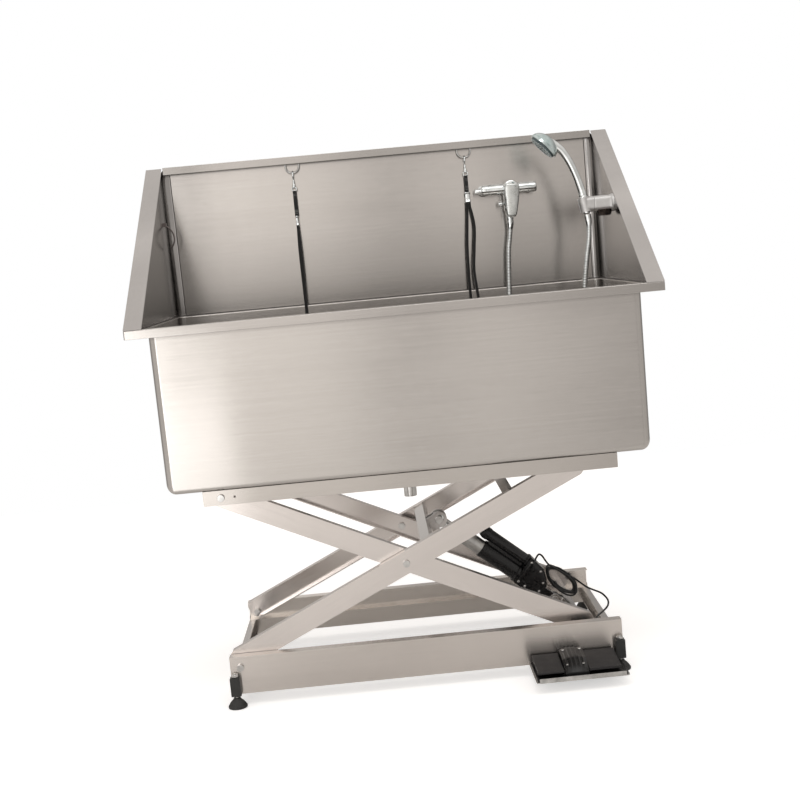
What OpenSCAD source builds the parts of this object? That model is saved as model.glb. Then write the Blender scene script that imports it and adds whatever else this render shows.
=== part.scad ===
// Dog grooming tub on an electric scissor lift.
// X runs left to right, Y front to back and Z up from the floor. All sizes are in millimetres.

/* [Tub] */
// Length of the rim, left to right
rim_l = 1300; // [1200:10:1360]
// Depth of the rim, front to back
rim_d = 670; // [640:10:720]
// Height from the underside of the tub floor to the top of the rim
tub_h = 411; // [300:1:480]
// Thickness of the stainless sheet
sheet = 1.5; // [1:0.1:2]
// Width of the rim shelf beyond the tub wall at the two ends
shelf_end = 50; // [44:1:60]
// Width of the rim shelf beyond the tub wall at the front and back
shelf_side = 40; // [30:1:44]
// Height of the folded lip round the rim
lip_h = 22; // [12:1:30]
// Radius of the tub's corners
corner_r = 25; // [15:1:32]

/* [Guards] */
// Height of the splash guard above the rim at the back
guard_h = 414; // [380:1:440]
// Width of the sloping flange on each side guard
guard_flange = 43; // [36:1:44]
// Outside radius of the upright bend at the back corners
bend_r = 22; // [12:1:26]
// Reach of the fold along the top of the back guard
rail_fold = 28; // [22:1:36]
// Height of the lip that hangs from that fold
rail_lip = 20; // [14:1:26]

/* [Lift] */
// Slope of the line through the arm pivots as the tub stands in the picture
lift_angle = 26.3; // [20:0.1:34]
// Distance between the end pivots of an arm
arm_pivots = 980; // [940:1:1000]
// Height of an arm channel
arm_h = 55; // [46:1:58]
// Depth of an arm channel
arm_d = 25; // [22:1:26]
// Wall of an arm channel
arm_wall = 3; // [2.5:0.1:4]
// Distance from an arm's centre line down to the hole at its base end
drop_low = 12; // [8:0.5:13]
// Distance from an arm's centre line up to the hole at its tub end
rise_top = 9; // [8.5:0.5:12]
// Diameter of the pivot bolts
bolt_d = 12; // [10:1:16]
// Side of the square cross tubes
tube_w = 28; // [24:1:30]

/* [Frames] */
// Length of the base
base_l = 992; // [980:1:1040]
// Depth over both side rails
frame_d = 580; // [560:5:600]
// Height of the base rails
base_h = 96; // [92:1:110]
// Height of the boxed track in the base rails
track_h = 44; // [38:1:46]
// Clearance between the base rails and the floor
floor_gap = 30; // [28:1:45]
// Width of the rail flanges
rail_w = 30; // [28:1:32]
// Wall of the rails
rail_wall = 2.5; // [2:0.1:3]
// Length of the top frame
top_l = 1028; // [1010:1:1060]
// Height of the top frame
top_h = 37; // [34:1:44]
// Diameter of a levelling foot
foot_d = 48; // [40:1:56]

/* [Actuator] */
// Diameter of the outer tube
ram_d = 42; // [38:1:44]
// Diameter of the push rod
rod_d = 25; // [20:1:28]
// Diameter of the motor
motor_d = 32; // [28:1:36]
// Length of the pale outer tube from the lower pin to its mouth
ram_end = 325; // [300:1:330]

/* [Fittings] */
// Bore of the drain in the tub floor
drain_d = 52; // [46:1:60]
// Outside diameter of the drain's tailpipe
tail_d = 34; // [30:1:40]
// Distance between the mixer's wall connections
mixer_w = 124; // [110:1:140]
// Diameter of the shower hose
hose_d = 14; // [12:0.5:16]
// Diameter of the tie rings' wire
ring_wire = 5; // [4:0.5:6]
// Diameter of the lift's cable
cable_d = 5; // [4:0.5:6]

/* [Hidden] */
$fn = 48;

// Running clearance between parts that turn, and the gap kept between parts that only pass
run_gap = 0.3;
pass_gap = 2.5;
cut = 1;

// The pedal tray stands out in front, so the middle of the whole object lies before the tub's
tray_reach = 150;
mid_y = (frame_d / 2 + tray_reach - rim_d / 2) / 2;

// Heights of the lift, from the floor up
roller_d = base_h - track_h - rail_wall - 1;
pivot_z = floor_gap + track_h + roller_d / 2 + run_gap;
half_arm = arm_pivots / 2;
rest_rise = arm_pivots * sin(lift_angle);
top_pivot_z = pivot_z + rest_rise;
top_roller_d = top_h - 2 * rail_wall - 1;
tub_z = top_pivot_z + top_h / 2;
rim_z = tub_z + tub_h;
guard_z = rim_z + guard_h;

// The arms' fixed pivots, left, and the bolt where the arms cross
pivot_x = -470;
centre_x = pivot_x + half_arm * cos(lift_angle);
centre_z = pivot_z + half_arm * sin(lift_angle);
arm_end = 17;

// Depth layers from the outside in, on one side of the frame
rail_y = frame_d / 2;
outer_y = rail_y - rail_w - pass_gap;
inner_y = outer_y - arm_d - pass_gap - 2 * run_gap;
head_h = 8;
nut_h = 10;

// Points along an arm, as distance from the crossing bolt and height above the pivot line
ram_top = [114, 6];
ram_foot = [440, -1];
mid_tube = [70, 10];
high_tube = [311, 4.7];
low_tube = [472, 2];

function along(angle, p) = [centre_x + p[0] * cos(angle) - p[1] * sin(angle), 0,
    centre_z + p[0] * sin(angle) + p[1] * cos(angle)];
foot_at = along(-lift_angle, ram_foot);
top_at = along(lift_angle, ram_top);
ram_l = norm(top_at - foot_at);
ram_angle = atan2(top_at[2] - foot_at[2], foot_at[0] - top_at[0]);

// Tub walls and guards
wall_x = rim_l / 2 - shelf_end;
wall_y = rim_d / 2 - shelf_side;
guard_x = rim_l / 2 - guard_flange;
back_y = rim_d / 2 - sheet;
seam_x = guard_x - bend_r;

// Fittings on the back guard and on the right guard
mixer_x = guard_x - 245;
mixer_z = rim_z + 272;
mixer_y = back_y - sheet - 47;
mixer_low = mixer_z - 78;
ring_x = [-241, 243];
ring_y = back_y - rail_fold / 2;
ring_r = 19;
ring_low = guard_z - 45;
cup_x = guard_x - 77;
cup_y = 40;
cup_z = rim_z + 204;
cup_h = 38;
seat_lean = 9.5;

steel = "Silver";
dark = "DimGray";
black = "#1c1c1e";
chrome = "LightSteelBlue";

module placed() translate([0, mid_y, 0]) children();
module at_rear() mirror([0, 1, 0]) children();
module both_sides() {
    children();
    at_rear() children();
}
module all_corners() {
    both_sides() children();
    both_sides() mirror([1, 0, 0]) children();
}
// A rod along Y between two depths, at one place seen from the front
module cross_rod(at, d, from, to) {
    translate([at[0], to, at[2]]) rotate([90, 0, 0]) cylinder(h = to - from, d = d);
}
module hex_rod(at, width, from, to) {
    translate([at[0], to, at[2]]) rotate([90, 0, 0])
        cylinder(h = to - from, d = width / cos(30), $fn = 6);
}
module round_rect(x, y, r) {
    square([x - 2 * r, y], center = true);
    square([x, y - 2 * r], center = true);
    for (i = [-1, 1], j = [-1, 1])
        translate([i * (x / 2 - r), j * (y / 2 - r)]) circle(r);
}
// A straight section along X, from points given as depth and height
module along_x(length) rotate([90, 0, 90]) linear_extrude(length, center = true) children();

// Closed tube round a path, as rings of points joined by triangles
function unit(v) = v / norm(v);
function heading(path, i) =
    unit(path[min(i + 1, len(path) - 1)] - path[max(i - 1, 0)]);
function carried(n, t) = unit(n - (n * t) * t);
function normals(path, first) = [for (i = 0, n = carried(first, heading(path, 0));
    i < len(path);
    i = i + 1, n = i < len(path) ? carried(n, heading(path, i)) : n) n];
function ring(at, t, n, wide, thick, sides) = [for (k = [0 : sides - 1])
    at + wide * cos(360 * k / sides) * n + thick * sin(360 * k / sides) * cross(t, n)];
function skin(rings, sides) = [for (i = [0 : rings - 2], k = [0 : sides - 1], h = [0, 1])
    let (a = i * sides + k, b = i * sides + (k + 1) % sides)
    h == 0 ? [a, a + sides, b] : [b, a + sides, b + sides]];
function cap(first, sides, flip) = [for (k = [1 : sides - 2])
    flip ? [first, first + k, first + k + 1] : [first, first + k + 1, first + k]];
module tube(path, wide, thick, sides, first) {
    side = normals(path, first);
    points = [for (i = [0 : len(path) - 1])
        each ring(path[i], heading(path, i), side[i], wide / 2, thick / 2, sides)];
    faces = concat(cap(0, sides, true), skin(len(path), sides),
        cap((len(path) - 1) * sides, sides, false));
    polyhedron(points, faces);
}
// Smooth curve through hand-placed points
function blend(p, i, t) = let (a = p[max(i - 1, 0)], b = p[i], c = p[i + 1],
    d = p[min(i + 2, len(p) - 1)])
    0.5 * (2 * b + (c - a) * t + (2 * a - 5 * b + 4 * c - d) * t * t
    + (3 * b - a - 3 * c + d) * t * t * t);
function smooth(p, steps) = concat([for (i = [0 : len(p) - 2], s = [0 : steps - 1])
    blend(p, i, s / steps)], [p[len(p) - 1]]);
function path_length(p) = len(p) < 2 ? 0 : sum([for (i = [1 : len(p) - 1]) norm(p[i] - p[i - 1])]);
function sum(v, i = 0) = i >= len(v) ? 0 : v[i] + sum(v, i + 1);

// Base: two track rails, end cross-members and levelling feet

module base_rail() {
    translate([0, -rail_y, floor_gap]) along_x(base_l) difference() {
        square([rail_w, base_h]);
        translate([rail_wall, track_h]) square([rail_w, base_h - track_h - rail_wall]);
        translate([rail_wall, rail_wall])
            square([rail_w - 2 * rail_wall, track_h - 2 * rail_wall]);
    }
}
module rail_hole(at, d) cross_rod(at, d, -rail_y - cut, -rail_y + rail_w + cut);
tray_x = base_l / 2 - 241;
cord_hole = [tray_x + 110, 0, floor_gap + 20];
module base_rail_front() color(steel) placed() difference() {
    base_rail();
    rail_hole([pivot_x, 0, pivot_z], bolt_d + run_gap);
    rail_hole(cord_hole, 2 * cable_d);
}
module base_rail_rear() color(steel) placed() at_rear() difference() {
    base_rail();
    rail_hole([pivot_x, 0, pivot_z], bolt_d + run_gap);
}
cross_w = 18;
module base_cross_members() color(steel) placed()
    for (side = [0, 1]) mirror([side, 0, 0])
        translate([base_l / 2 - cross_w, 0, floor_gap]) rotate([90, 0, 0])
            linear_extrude(frame_d - 2 * rail_w, center = true) difference() {
                square([cross_w, track_h]);
                translate([-cut, rail_wall])
                    square([cross_w - rail_wall + cut, track_h - 2 * rail_wall]);
            }
sleeve_w = 25;
sleeve_d = 24;
sleeve_h = 47;
sleeve_z = floor_gap + 1;
stud_d = 10;
foot_x = base_l / 2 - 10.5;
foot_y = rail_y + sleeve_d / 2;
module foot_sleeves() color(black) placed() all_corners()
    translate([foot_x, -foot_y, sleeve_z + sleeve_h / 2]) difference() {
        cube([sleeve_w, sleeve_d, sleeve_h], center = true);
        cylinder(h = sleeve_h + 2 * cut, d = stud_d + run_gap, center = true);
    }
// Threaded stud with its domed pad and the nut above the sleeve
pad_h = 7;
dome_h = 19;
stud_nut = 17;
module levelling_foot() translate([foot_x, -foot_y, 0]) {
    rotate_extrude() {
        square([foot_d / 2, pad_h]);
        translate([0, pad_h])
            polygon([[0, 0], [foot_d / 2, 0], [foot_d / 2 - 6, dome_h * 0.55], [stud_d, dome_h],
                [0, dome_h]]);
    }
    cylinder(h = sleeve_z + sleeve_h + 10, d = stud_d);
    translate([0, 0, sleeve_z + sleeve_h + run_gap])
        cylinder(h = 8, d = stud_nut / cos(30), $fn = 6);
}
module foot_front_left() color(black) placed() mirror([1, 0, 0]) levelling_foot();
module foot_front_right() color(black) placed() levelling_foot();
module foot_rear_left() color(black) placed() mirror([1, 0, 0]) at_rear() levelling_foot();
module foot_rear_right() color(black) placed() at_rear() levelling_foot();

// Bolt, spacer and nut that carry an arm from a rail
spacer_d = bolt_d + 10;
module arm_bolt(at, head_face, spacer_from, arm_face) {
    nut_from = -arm_face + arm_wall + run_gap;
    cross_rod(at, bolt_d * 1.5, -head_face - head_h, -head_face);
    cross_rod(at, bolt_d, -head_face, nut_from + nut_h);
    cross_rod(at, spacer_d, -spacer_from, -arm_face - run_gap);
    hex_rod(at, bolt_d * 1.5, nut_from, nut_from + nut_h);
}
module base_pivot_bolts() color(steel) placed() both_sides()
    arm_bolt([pivot_x, 0, pivot_z], rail_y, rail_y - rail_wall, outer_y);

// Foot switch on its tray under the front rail. Its back corner is cut round the right foot.

tray_w = 229;
foot_cut = 14;
tray_t = 3;
tray_z = floor_gap - tray_t;
tray_front = -rail_y - tray_reach;
step_y = -foot_y - foot_d / 2 - 4;
tray_lip = 12;
module pedal_plan(inset, back) {
    depth = back - tray_front;
    translate([tray_x + tray_w / 2, (tray_front + step_y) / 2])
        round_rect(tray_w - 2 * inset, step_y - tray_front - 2 * inset, 8);
    translate([tray_x + (tray_w - foot_cut) / 2, back - depth / 2])
        round_rect(tray_w - foot_cut - 2 * inset, depth - 2 * inset, 8);
}
module pedal_tray() color(steel) placed() {
    translate([0, 0, tray_z]) linear_extrude(tray_t) pedal_plan(0, -rail_y + rail_w - 2);
    translate([tray_x + 8, tray_front, tray_z]) cube([tray_w - 16, 2, tray_lip]);
}
base_t = 6;
hump_x = tray_x + 102;
hump_w = 58;
hump_h = 34;
pedal_gap = 1.5;
pedal_back = -rail_y - 8;
pedal_front = tray_front + 14;
hinge_y = pedal_back - 8;
hinge_z = floor_gap + base_t + 13;
pin_d = 5;
left_w = hump_x - hump_w / 2 - pedal_gap - tray_x - 6;
right_w = tray_x + tray_w - foot_cut - 4 - hump_x - hump_w / 2 - pedal_gap;
// Base plate, centre hump and the hinge pin that both pedals turn on
module pedal_base() color(black) placed() {
    back = -rail_y - 3;
    low = floor_gap + base_t;
    translate([0, 0, floor_gap]) linear_extrude(base_t) pedal_plan(3, back + 3);
    translate([hump_x - hump_w / 2, 0, 0]) rotate([90, 0, 90]) linear_extrude(hump_w)
        polygon([[back, low - 1], [back, low + hump_h - 8], [back - 30, low + hump_h],
            [back - 90, low + hump_h - 6], [tray_front + 12, low + 8], [tray_front + 12, low - 1]]);
    translate([hump_x - hump_w / 2 - left_w, hinge_y, hinge_z]) rotate([0, 90, 0])
        cylinder(h = left_w + hump_w + right_w, d = pin_d);
}
module pedal(x, width) translate([x, 0, 0]) rotate([90, 0, 90]) linear_extrude(width)
    difference() {
        polygon([[pedal_back, hinge_z - 6], [pedal_back, hinge_z + 8], [pedal_back - 12, hinge_z + 11],
            [pedal_front, hinge_z + 1], [pedal_front, hinge_z - 5]]);
        translate([hinge_y, hinge_z]) circle(d = pin_d + run_gap);
    }
module pedal_left() color(dark) placed()
    pedal(hump_x - hump_w / 2 - pedal_gap - left_w, left_w);
module pedal_right() color(dark) placed() pedal(hump_x + hump_w / 2 + pedal_gap, right_w);
// Cord from the pedal through the rail to the foot of the lift's cable
function from_pivot(route) = [for (p = route) p + [0, 0, pivot_z]];
meet_at = [436, -238, -16];
hole_x = cord_hole[0];
pedal_route = from_pivot([[hole_x, -293, -48.5], [hole_x, -276, -48.5], [hole_x, -258, -48.5],
    [hole_x + 7, -245, -51], [392, -239, -56], [416, -238, -54], [430, -238, -45], [436, -238, -31],
    meet_at - [0, 0, 1.5]]);
module pedal_cord() color(black) placed()
    tube(smooth(pedal_route, 3), cable_d, cable_d, 8, [0, 0, 1]);

// Scissor arms: channels with the web outward, drilled on one straight line

module arm(face, left, right) {
    tilt = atan((right - left) / arm_pivots);
    length = arm_pivots / cos(tilt) + 2 * arm_end;
    difference() {
        translate([-half_arm, -face, left]) rotate([0, -tilt, 0])
            translate([length / 2 - arm_end, 0, 0]) {
                rotate([-90, 0, 0]) linear_extrude(arm_wall) round_rect(length, arm_h, arm_end + 3);
                for (edge = [-1, 1]) translate([0, arm_d / 2, edge * (arm_h - arm_wall) / 2])
                    cube([length - 30, arm_d, arm_wall], center = true);
            }
        for (x = [-half_arm, 0, half_arm])
            cross_rod([x, 0, 0], bolt_d + run_gap, -face - cut, -face + arm_wall + cut);
    }
}
module in_outer() translate([centre_x, 0, centre_z]) rotate([0, -lift_angle, 0]) children();
module in_inner() translate([centre_x, 0, centre_z]) rotate([0, lift_angle, 0]) children();
module outer_arm_front() color(steel) placed() in_outer() arm(outer_y, drop_low, -rise_top);
module outer_arm_rear() color(steel) placed() at_rear() in_outer()
    arm(outer_y, drop_low, -rise_top);
module inner_arm_front() color(steel) placed() in_inner() arm(inner_y, -rise_top, drop_low);
module inner_arm_rear() color(steel) placed() at_rear() in_inner()
    arm(inner_y, -rise_top, drop_low);

tube_wall = 2.5;
module square_tube(at, face) {
    translate([at[0], 0, at[1]]) rotate([90, 0, 0])
        linear_extrude(2 * (face - arm_wall), center = true) difference() {
            square(tube_w, center = true);
            square(tube_w - 2 * tube_wall, center = true);
        }
}
// A pair of lugs either side of the actuator, in an arm's own plane
module lug_pair() for (side = [-1, 1])
    translate([0, side * (lug_gap + lug_t / 2), 0]) rotate([90, 0, 0])
        linear_extrude(lug_t, center = true) children();
lug_t = 6;
lug_gap = 13.2;
ram_pin = 12;
// The upper lugs have slots, because the rod's pin shifts a little as the arms open
slot_d = ram_pin + 6;
slot_at = [3.4, 0.8];
slot_half = 1.8;
module outer_cross_tubes() color(steel) placed() in_outer() {
    square_tube(mid_tube, outer_y);
    square_tube(high_tube, outer_y);
    face_x = mid_tube[0] + tube_w / 2;
    lug_pair() difference() {
        union() {
            translate([face_x, ram_top[1] - 20]) square([ram_top[0] - face_x, 40]);
            translate(ram_top) circle(22);
        }
        for (s = [-slot_half, slot_half]) translate(ram_top + slot_at + [s, 0]) circle(d = slot_d);
        translate(ram_top + slot_at) square([2 * slot_half, slot_d], center = true);
    }
}
module centre_bolts() color(steel) placed() both_sides()
    arm_bolt([centre_x, 0, centre_z], outer_y, outer_y - arm_wall, inner_y);
axle_d = bolt_d - 2;
roller_w = 23;
roller_y = -rail_y + rail_wall + 2;
// Stepped axle: the shoulder fills the arm's hole and the thin end carries the roller
module roller_axle(at, face) {
    cross_rod(at, bolt_d + run_gap, -face - 3, -face + arm_wall);
    cross_rod(at, axle_d, roller_y - 1, -face - 3);
}
roller_at = along(-lift_angle, [half_arm, 0]);
top_roller_at = along(lift_angle, [half_arm, 0]);
module roller(at, d) difference() {
    cross_rod(at, d, roller_y, roller_y + roller_w);
    rail_hole(at, axle_d + run_gap);
}
module top_roller_axles() color(steel) placed() both_sides() roller_axle(top_roller_at, outer_y);
module top_rollers() color(dark) placed() both_sides() roller(top_roller_at, top_roller_d);
module base_roller_axles() color(steel) placed() both_sides() roller_axle(roller_at, inner_y);
module base_rollers() color(dark) placed() both_sides() roller(roller_at, roller_d);
// Cross tube of the inner arms with the clevis for the actuator's foot
module inner_cross_tube() color(steel) placed() in_inner() {
    square_tube(low_tube, inner_y);
    face_x = low_tube[0] - tube_w / 2;
    lug_pair() difference() {
        union() {
            translate([ram_foot[0], ram_foot[1] - 13]) square([face_x - ram_foot[0], 26]);
            translate(ram_foot) circle(16);
        }
        translate(ram_foot) circle(d = ram_pin + run_gap);
    }
}

// Linear actuator, drawn along X from its lower pin and then turned into place

module on_ram() translate(foot_at) rotate([0, ram_angle - 180, 0]) children();
module ram_rod(from, to, d) translate([from, 0, 0]) rotate([0, 90, 0]) cylinder(h = to - from, d = d);
gear_w = 50;
gear_from = 42;
gear_to = 122;
cover_to = 246;
motor_off = 42;
motor_to = 272;
lug_w = 2 * lug_gap - 1;
module ram_eye(d, bore) rotate([90, 0, 0]) difference() {
    cylinder(h = lug_w, d = d, center = true);
    cylinder(h = lug_w + 2 * cut, d = bore, center = true);
}
module actuator_gearbox() color(black) placed() on_ram() {
    difference() {
        union() {
            rotate([-90, 0, 0]) linear_extrude(gear_w, center = true)
                polygon([[gear_from, -11], [92, -24], [gear_to, -24], [gear_to, 59], [76, 52],
                    [54, 34], [gear_from, 18]]);
            ram_rod(gear_to, cover_to, ram_d + 4);
        }
        ram_rod(100, cover_to + cut, ram_d);
    }
    ram_eye(28, ram_pin + run_gap);
    translate([ram_pin, -lug_w / 2, -11]) cube([gear_from - ram_pin + 1, lug_w, 22]);
}
module actuator_motor() color(black) placed() on_ram() translate([0, 0, -motor_off]) {
    ram_rod(gear_to, motor_to - 8, motor_d);
    translate([motor_to - 8, 0, 0]) rotate([0, 90, 0]) cylinder(h = 8, d1 = motor_d, d2 = motor_d - 6);
}
module actuator_tube() color("Gainsboro") placed() on_ram() difference() {
    ram_rod(100, ram_end, ram_d);
    ram_rod(106, ram_end + cut, rod_d + 2 * run_gap);
}
rod_tail = 150;
module actuator_rod() color(chrome) placed() on_ram() {
    ram_rod(rod_tail, ram_l - 13, rod_d);
    translate([ram_l, 0, 0]) ram_eye(32, ram_pin);
}
module pin_with_heads(at) {
    half = lug_gap + lug_t + 1;
    cross_rod(at, ram_pin, -half, half);
    for (side = [0, 1]) mirror([0, side, 0]) cross_rod(at, ram_pin + 10, -half - 3, -half);
}
module lower_pin() color(steel) placed() pin_with_heads(foot_at);
module rod_pin() color(steel) placed() pin_with_heads(top_at);

// Cable of the lift: from the gearbox into a tied hank, then down behind the front rail
hank_at = [386, -6, 71.5];
hank_turns = 6;
hank_long = 96;
hank_wide = 42;
hank_step = 5.8;
hank_tilt = 46;
// One turn is an oval in the plane of the lift; each turn is a little larger or smaller
function hank_point(t) = let (turn = 90 - 360 * t,
    a = hank_long / 2 + 4 * sin(200 * t),
    b = hank_wide / 2 + 3 * sin(290 * t),
    lean = hank_tilt + 5 * sin(150 * t))
    hank_at + [a * cos(turn) * cos(lean) + b * sin(turn) * sin(lean),
        hank_step * (t - hank_turns / 2),
        b * sin(turn) * cos(lean) - a * cos(turn) * sin(lean)];
hank = from_pivot([for (i = [0 : hank_turns * 24]) hank_point(i / 24)]);
function self_gap(p, skip) = min([for (i = [0 : len(p) - 1 - skip])
    min([for (j = [i + skip : len(p) - 1]) norm(p[i] - p[j])])]);
lead_in = concat(from_pivot([[307, -25.5, 113.5], [307, -33, 113.8], [308, -41, 119], [311, -45, 131],
    [318, -43, 147], [327, -38, 156], [336, -33, 150], [344, -30, 136], [354, -29, 122],
    [376, -28, 106]]), [hank[0]]);
lead_out = concat([hank[len(hank) - 1]], from_pivot([[412, 12, 77], [426, 8, 67], [440, -8, 57],
    [452, -34, 51], [466, -66, 49.5], [480, -100, 48], [490, -130, 37], [485, -152, 27],
    [468, -175, 20], [451, -195, 15], [440, -214, 8], [436, -230, -3], meet_at]));
module cable_hank() color(black) placed() {
    tube(hank, cable_d, cable_d, 6, [0, 1, 0]);
    echo(hank_gap = self_gap(hank, 12) - cable_d, hank_length = path_length(hank));
}
module lift_cable() color(black) placed() {
    tube(smooth(lead_in, 3), cable_d, cable_d, 8, [0, 0, 1]);
    tube(smooth(lead_out, 3), cable_d, cable_d, 8, [0, 0, 1]);
    echo(lead_in = path_length(lead_in), lead_out = path_length(lead_out),
        pedal_cord = path_length(pedal_route));
}

// Top frame that carries the tub

module top_rail() difference() {
    translate([0, -rail_y, top_pivot_z - top_h / 2]) along_x(top_l) difference() {
        square([rail_w, top_h]);
        translate([rail_wall, rail_wall]) square([rail_w, top_h - 2 * rail_wall]);
    }
    rail_hole([pivot_x, 0, top_pivot_z], bolt_d + run_gap);
    rail_hole([pivot_x + 34, 0, top_pivot_z], 6);
}
module top_rail_front() color(steel) placed() top_rail();
module top_rail_rear() color(steel) placed() at_rear() top_rail();
mid_cross_x = 230;
top_cross_w = 12;
end_cross_x = (top_l - top_cross_w) / 2;
module top_cross_members() color(steel) placed()
    for (x = [-end_cross_x, -mid_cross_x, mid_cross_x, end_cross_x])
        translate([x, 0, top_pivot_z]) rotate([90, 0, 0])
            linear_extrude(frame_d - 2 * rail_w, center = true) difference() {
                square([top_cross_w, top_h], center = true);
                translate([0, -rail_wall])
                    square([top_cross_w - 2 * rail_wall, top_h], center = true);
            }
module top_pivot_bolts() color(steel) placed() both_sides()
    arm_bolt([pivot_x, 0, top_pivot_z], rail_y, rail_y - rail_wall, inner_y);

// Tub: a pressed basin with a rim shelf and a folded lip

// The lowest ring of a ball's facets lies a little above its pole, so the ball sinks by that much
ball_sides = 32;
module basin_block(x, y, r, from, to) hull() for (i = [-1, 1], j = [-1, 1])
    translate([i * (x - r), j * (y - r), 0]) {
        translate([0, 0, from + r * cos(180 / ball_sides)]) sphere(r, $fn = ball_sides);
        translate([0, 0, to - 1]) cylinder(h = 1, r = r, $fn = ball_sides);
    }
module tub_basin() color(steel) placed() difference() {
    union() {
        basin_block(wall_x, wall_y, corner_r, tub_z, rim_z - sheet / 2);
        translate([0, 0, rim_z - sheet / 2]) cube([rim_l, rim_d, sheet], center = true);
        translate([0, 0, rim_z - lip_h]) linear_extrude(lip_h) difference() {
            square([rim_l, rim_d], center = true);
            square([rim_l - 2 * sheet, rim_d - 2 * sheet], center = true);
        }
    }
    basin_block(wall_x - sheet, wall_y - sheet, corner_r - sheet, tub_z + sheet, rim_z + 30);
    cylinder(h = 3 * tub_z, d = drain_d, center = true);
}

// Splash guards

// The space under a side guard's sloping edge, as a slab through the whole tub
module under_slope() along_x(rim_l + 2 * cut)
    polygon([[-rim_d / 2, rim_z], [rim_d / 2, rim_z], [rim_d / 2, guard_z]]);
module slope_strip(width, drop) translate([-rim_l / 2, 0, 0]) rotate([90, 0, 90])
    linear_extrude(width)
        polygon([[-rim_d / 2, rim_z], [rim_d / 2, guard_z], [rim_d / 2, guard_z - drop],
            [-rim_d / 2 + drop * rim_d / guard_h, rim_z]]);
guard_foot = 16;
module side_guard() {
    slope_strip(guard_flange, sheet * norm([rim_d, guard_h]) / rim_d);
    slope_strip(sheet, 14);
    intersection() {
        translate([0, 0, rim_z]) linear_extrude(guard_h - sheet - 3) {
            translate([-guard_x, -rim_d / 2]) square([sheet, rim_d / 2 + back_y - bend_r]);
            translate([-seam_x, back_y - bend_r]) intersection() {
                difference() {
                    circle(bend_r);
                    circle(bend_r - sheet);
                }
                translate([-bend_r, 0]) square(bend_r);
            }
        }
        under_slope();
    }
    translate([-guard_x - guard_foot, -rim_d / 2 + 60, rim_z])
        cube([guard_foot + sheet / 2, rim_d - 120, sheet]);
}
module left_guard() color(steel) placed() side_guard();
module right_guard() color(steel) placed() mirror([1, 0, 0]) side_guard();
rail_end = 7;
module back_guard() color(steel) placed() {
    along_x(2 * seam_x - 1) translate([back_y - sheet, rim_z]) square([sheet, guard_h]);
    along_x(2 * (guard_x - rail_end)) {
        translate([back_y - rail_fold, guard_z - sheet]) square([rail_fold, sheet]);
        translate([back_y - rail_fold, guard_z - rail_lip]) square([sheet, rail_lip]);
    }
}

// Drain with its lift-out strainer

floor_top = tub_z + sheet;
flange_t = 2;
tail_l = 110;
module drain_body() color(steel) placed() rotate_extrude(convexity = 4) difference() {
    union() {
        translate([0, floor_top]) square([drain_d / 2 + 14, flange_t]);
        translate([0, tub_z - 18]) square([drain_d / 2 - run_gap, floor_top - tub_z + 19]);
        translate([0, tub_z - tail_l]) square([tail_d / 2, tail_l - 10]);
        translate([0, tub_z - 8]) square([drain_d / 2 + 9, 8]);
    }
    translate([0, tub_z - tail_l - cut]) square([tail_d / 2 - 2, tail_l + 40]);
    translate([0, tub_z - 14]) square([drain_d / 2 - 4, 30]);
}
module drain_strainer() color(steel) placed() difference() {
    union() {
        translate([0, 0, floor_top + flange_t]) cylinder(h = 1.5, d = drain_d + 4);
        translate([0, 0, floor_top + flange_t - 10]) cylinder(h = 11, d = drain_d - 9);
        translate([0, 0, floor_top + flange_t]) cylinder(h = 12, d = 10);
    }
    translate([0, 0, floor_top + flange_t - 10 - cut]) difference() {
        cylinder(h = 9.5, d = drain_d - 12);
        cylinder(h = 30, d = 10);
    }
    for (ring = [1, 2], k = [0 : 6 * ring - 1]) rotate(60 * k / ring)
        translate([9 * ring, 0, floor_top]) cylinder(h = 8, d = 4.5, $fn = 16);
}

// Tie rings bent from rod under the back fold, and the small wire hook on the left guard

module tie_ring(x) translate([x, ring_y, ring_low + ring_r]) rotate([90, 0, 0]) {
    rotate([0, 0, 180]) rotate_extrude(angle = 180) translate([ring_r, 0]) circle(d = ring_wire);
    for (side = [-1, 1]) translate([side * ring_r, 0, 0]) rotate([-90, 0, 0])
        cylinder(h = guard_z - sheet - ring_low - ring_r, d = ring_wire);
}
hook_r = 38;
module side_hook() translate([-guard_x + sheet, 250, rim_z + 256]) {
    translate([0, -9, -5]) cube([7, 18, 10]);
    translate([5 - hook_r * cos(60), 0, -4 - hook_r * sin(60)]) rotate([90, 0, 0])
        rotate([0, 0, -50]) rotate_extrude(angle = 110) translate([hook_r, 0]) circle(d = 4);
}
module tie_rings() color(steel) placed() {
    for (x = ring_x) tie_ring(x);
    side_hook();
}

// Wall mixer

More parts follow.
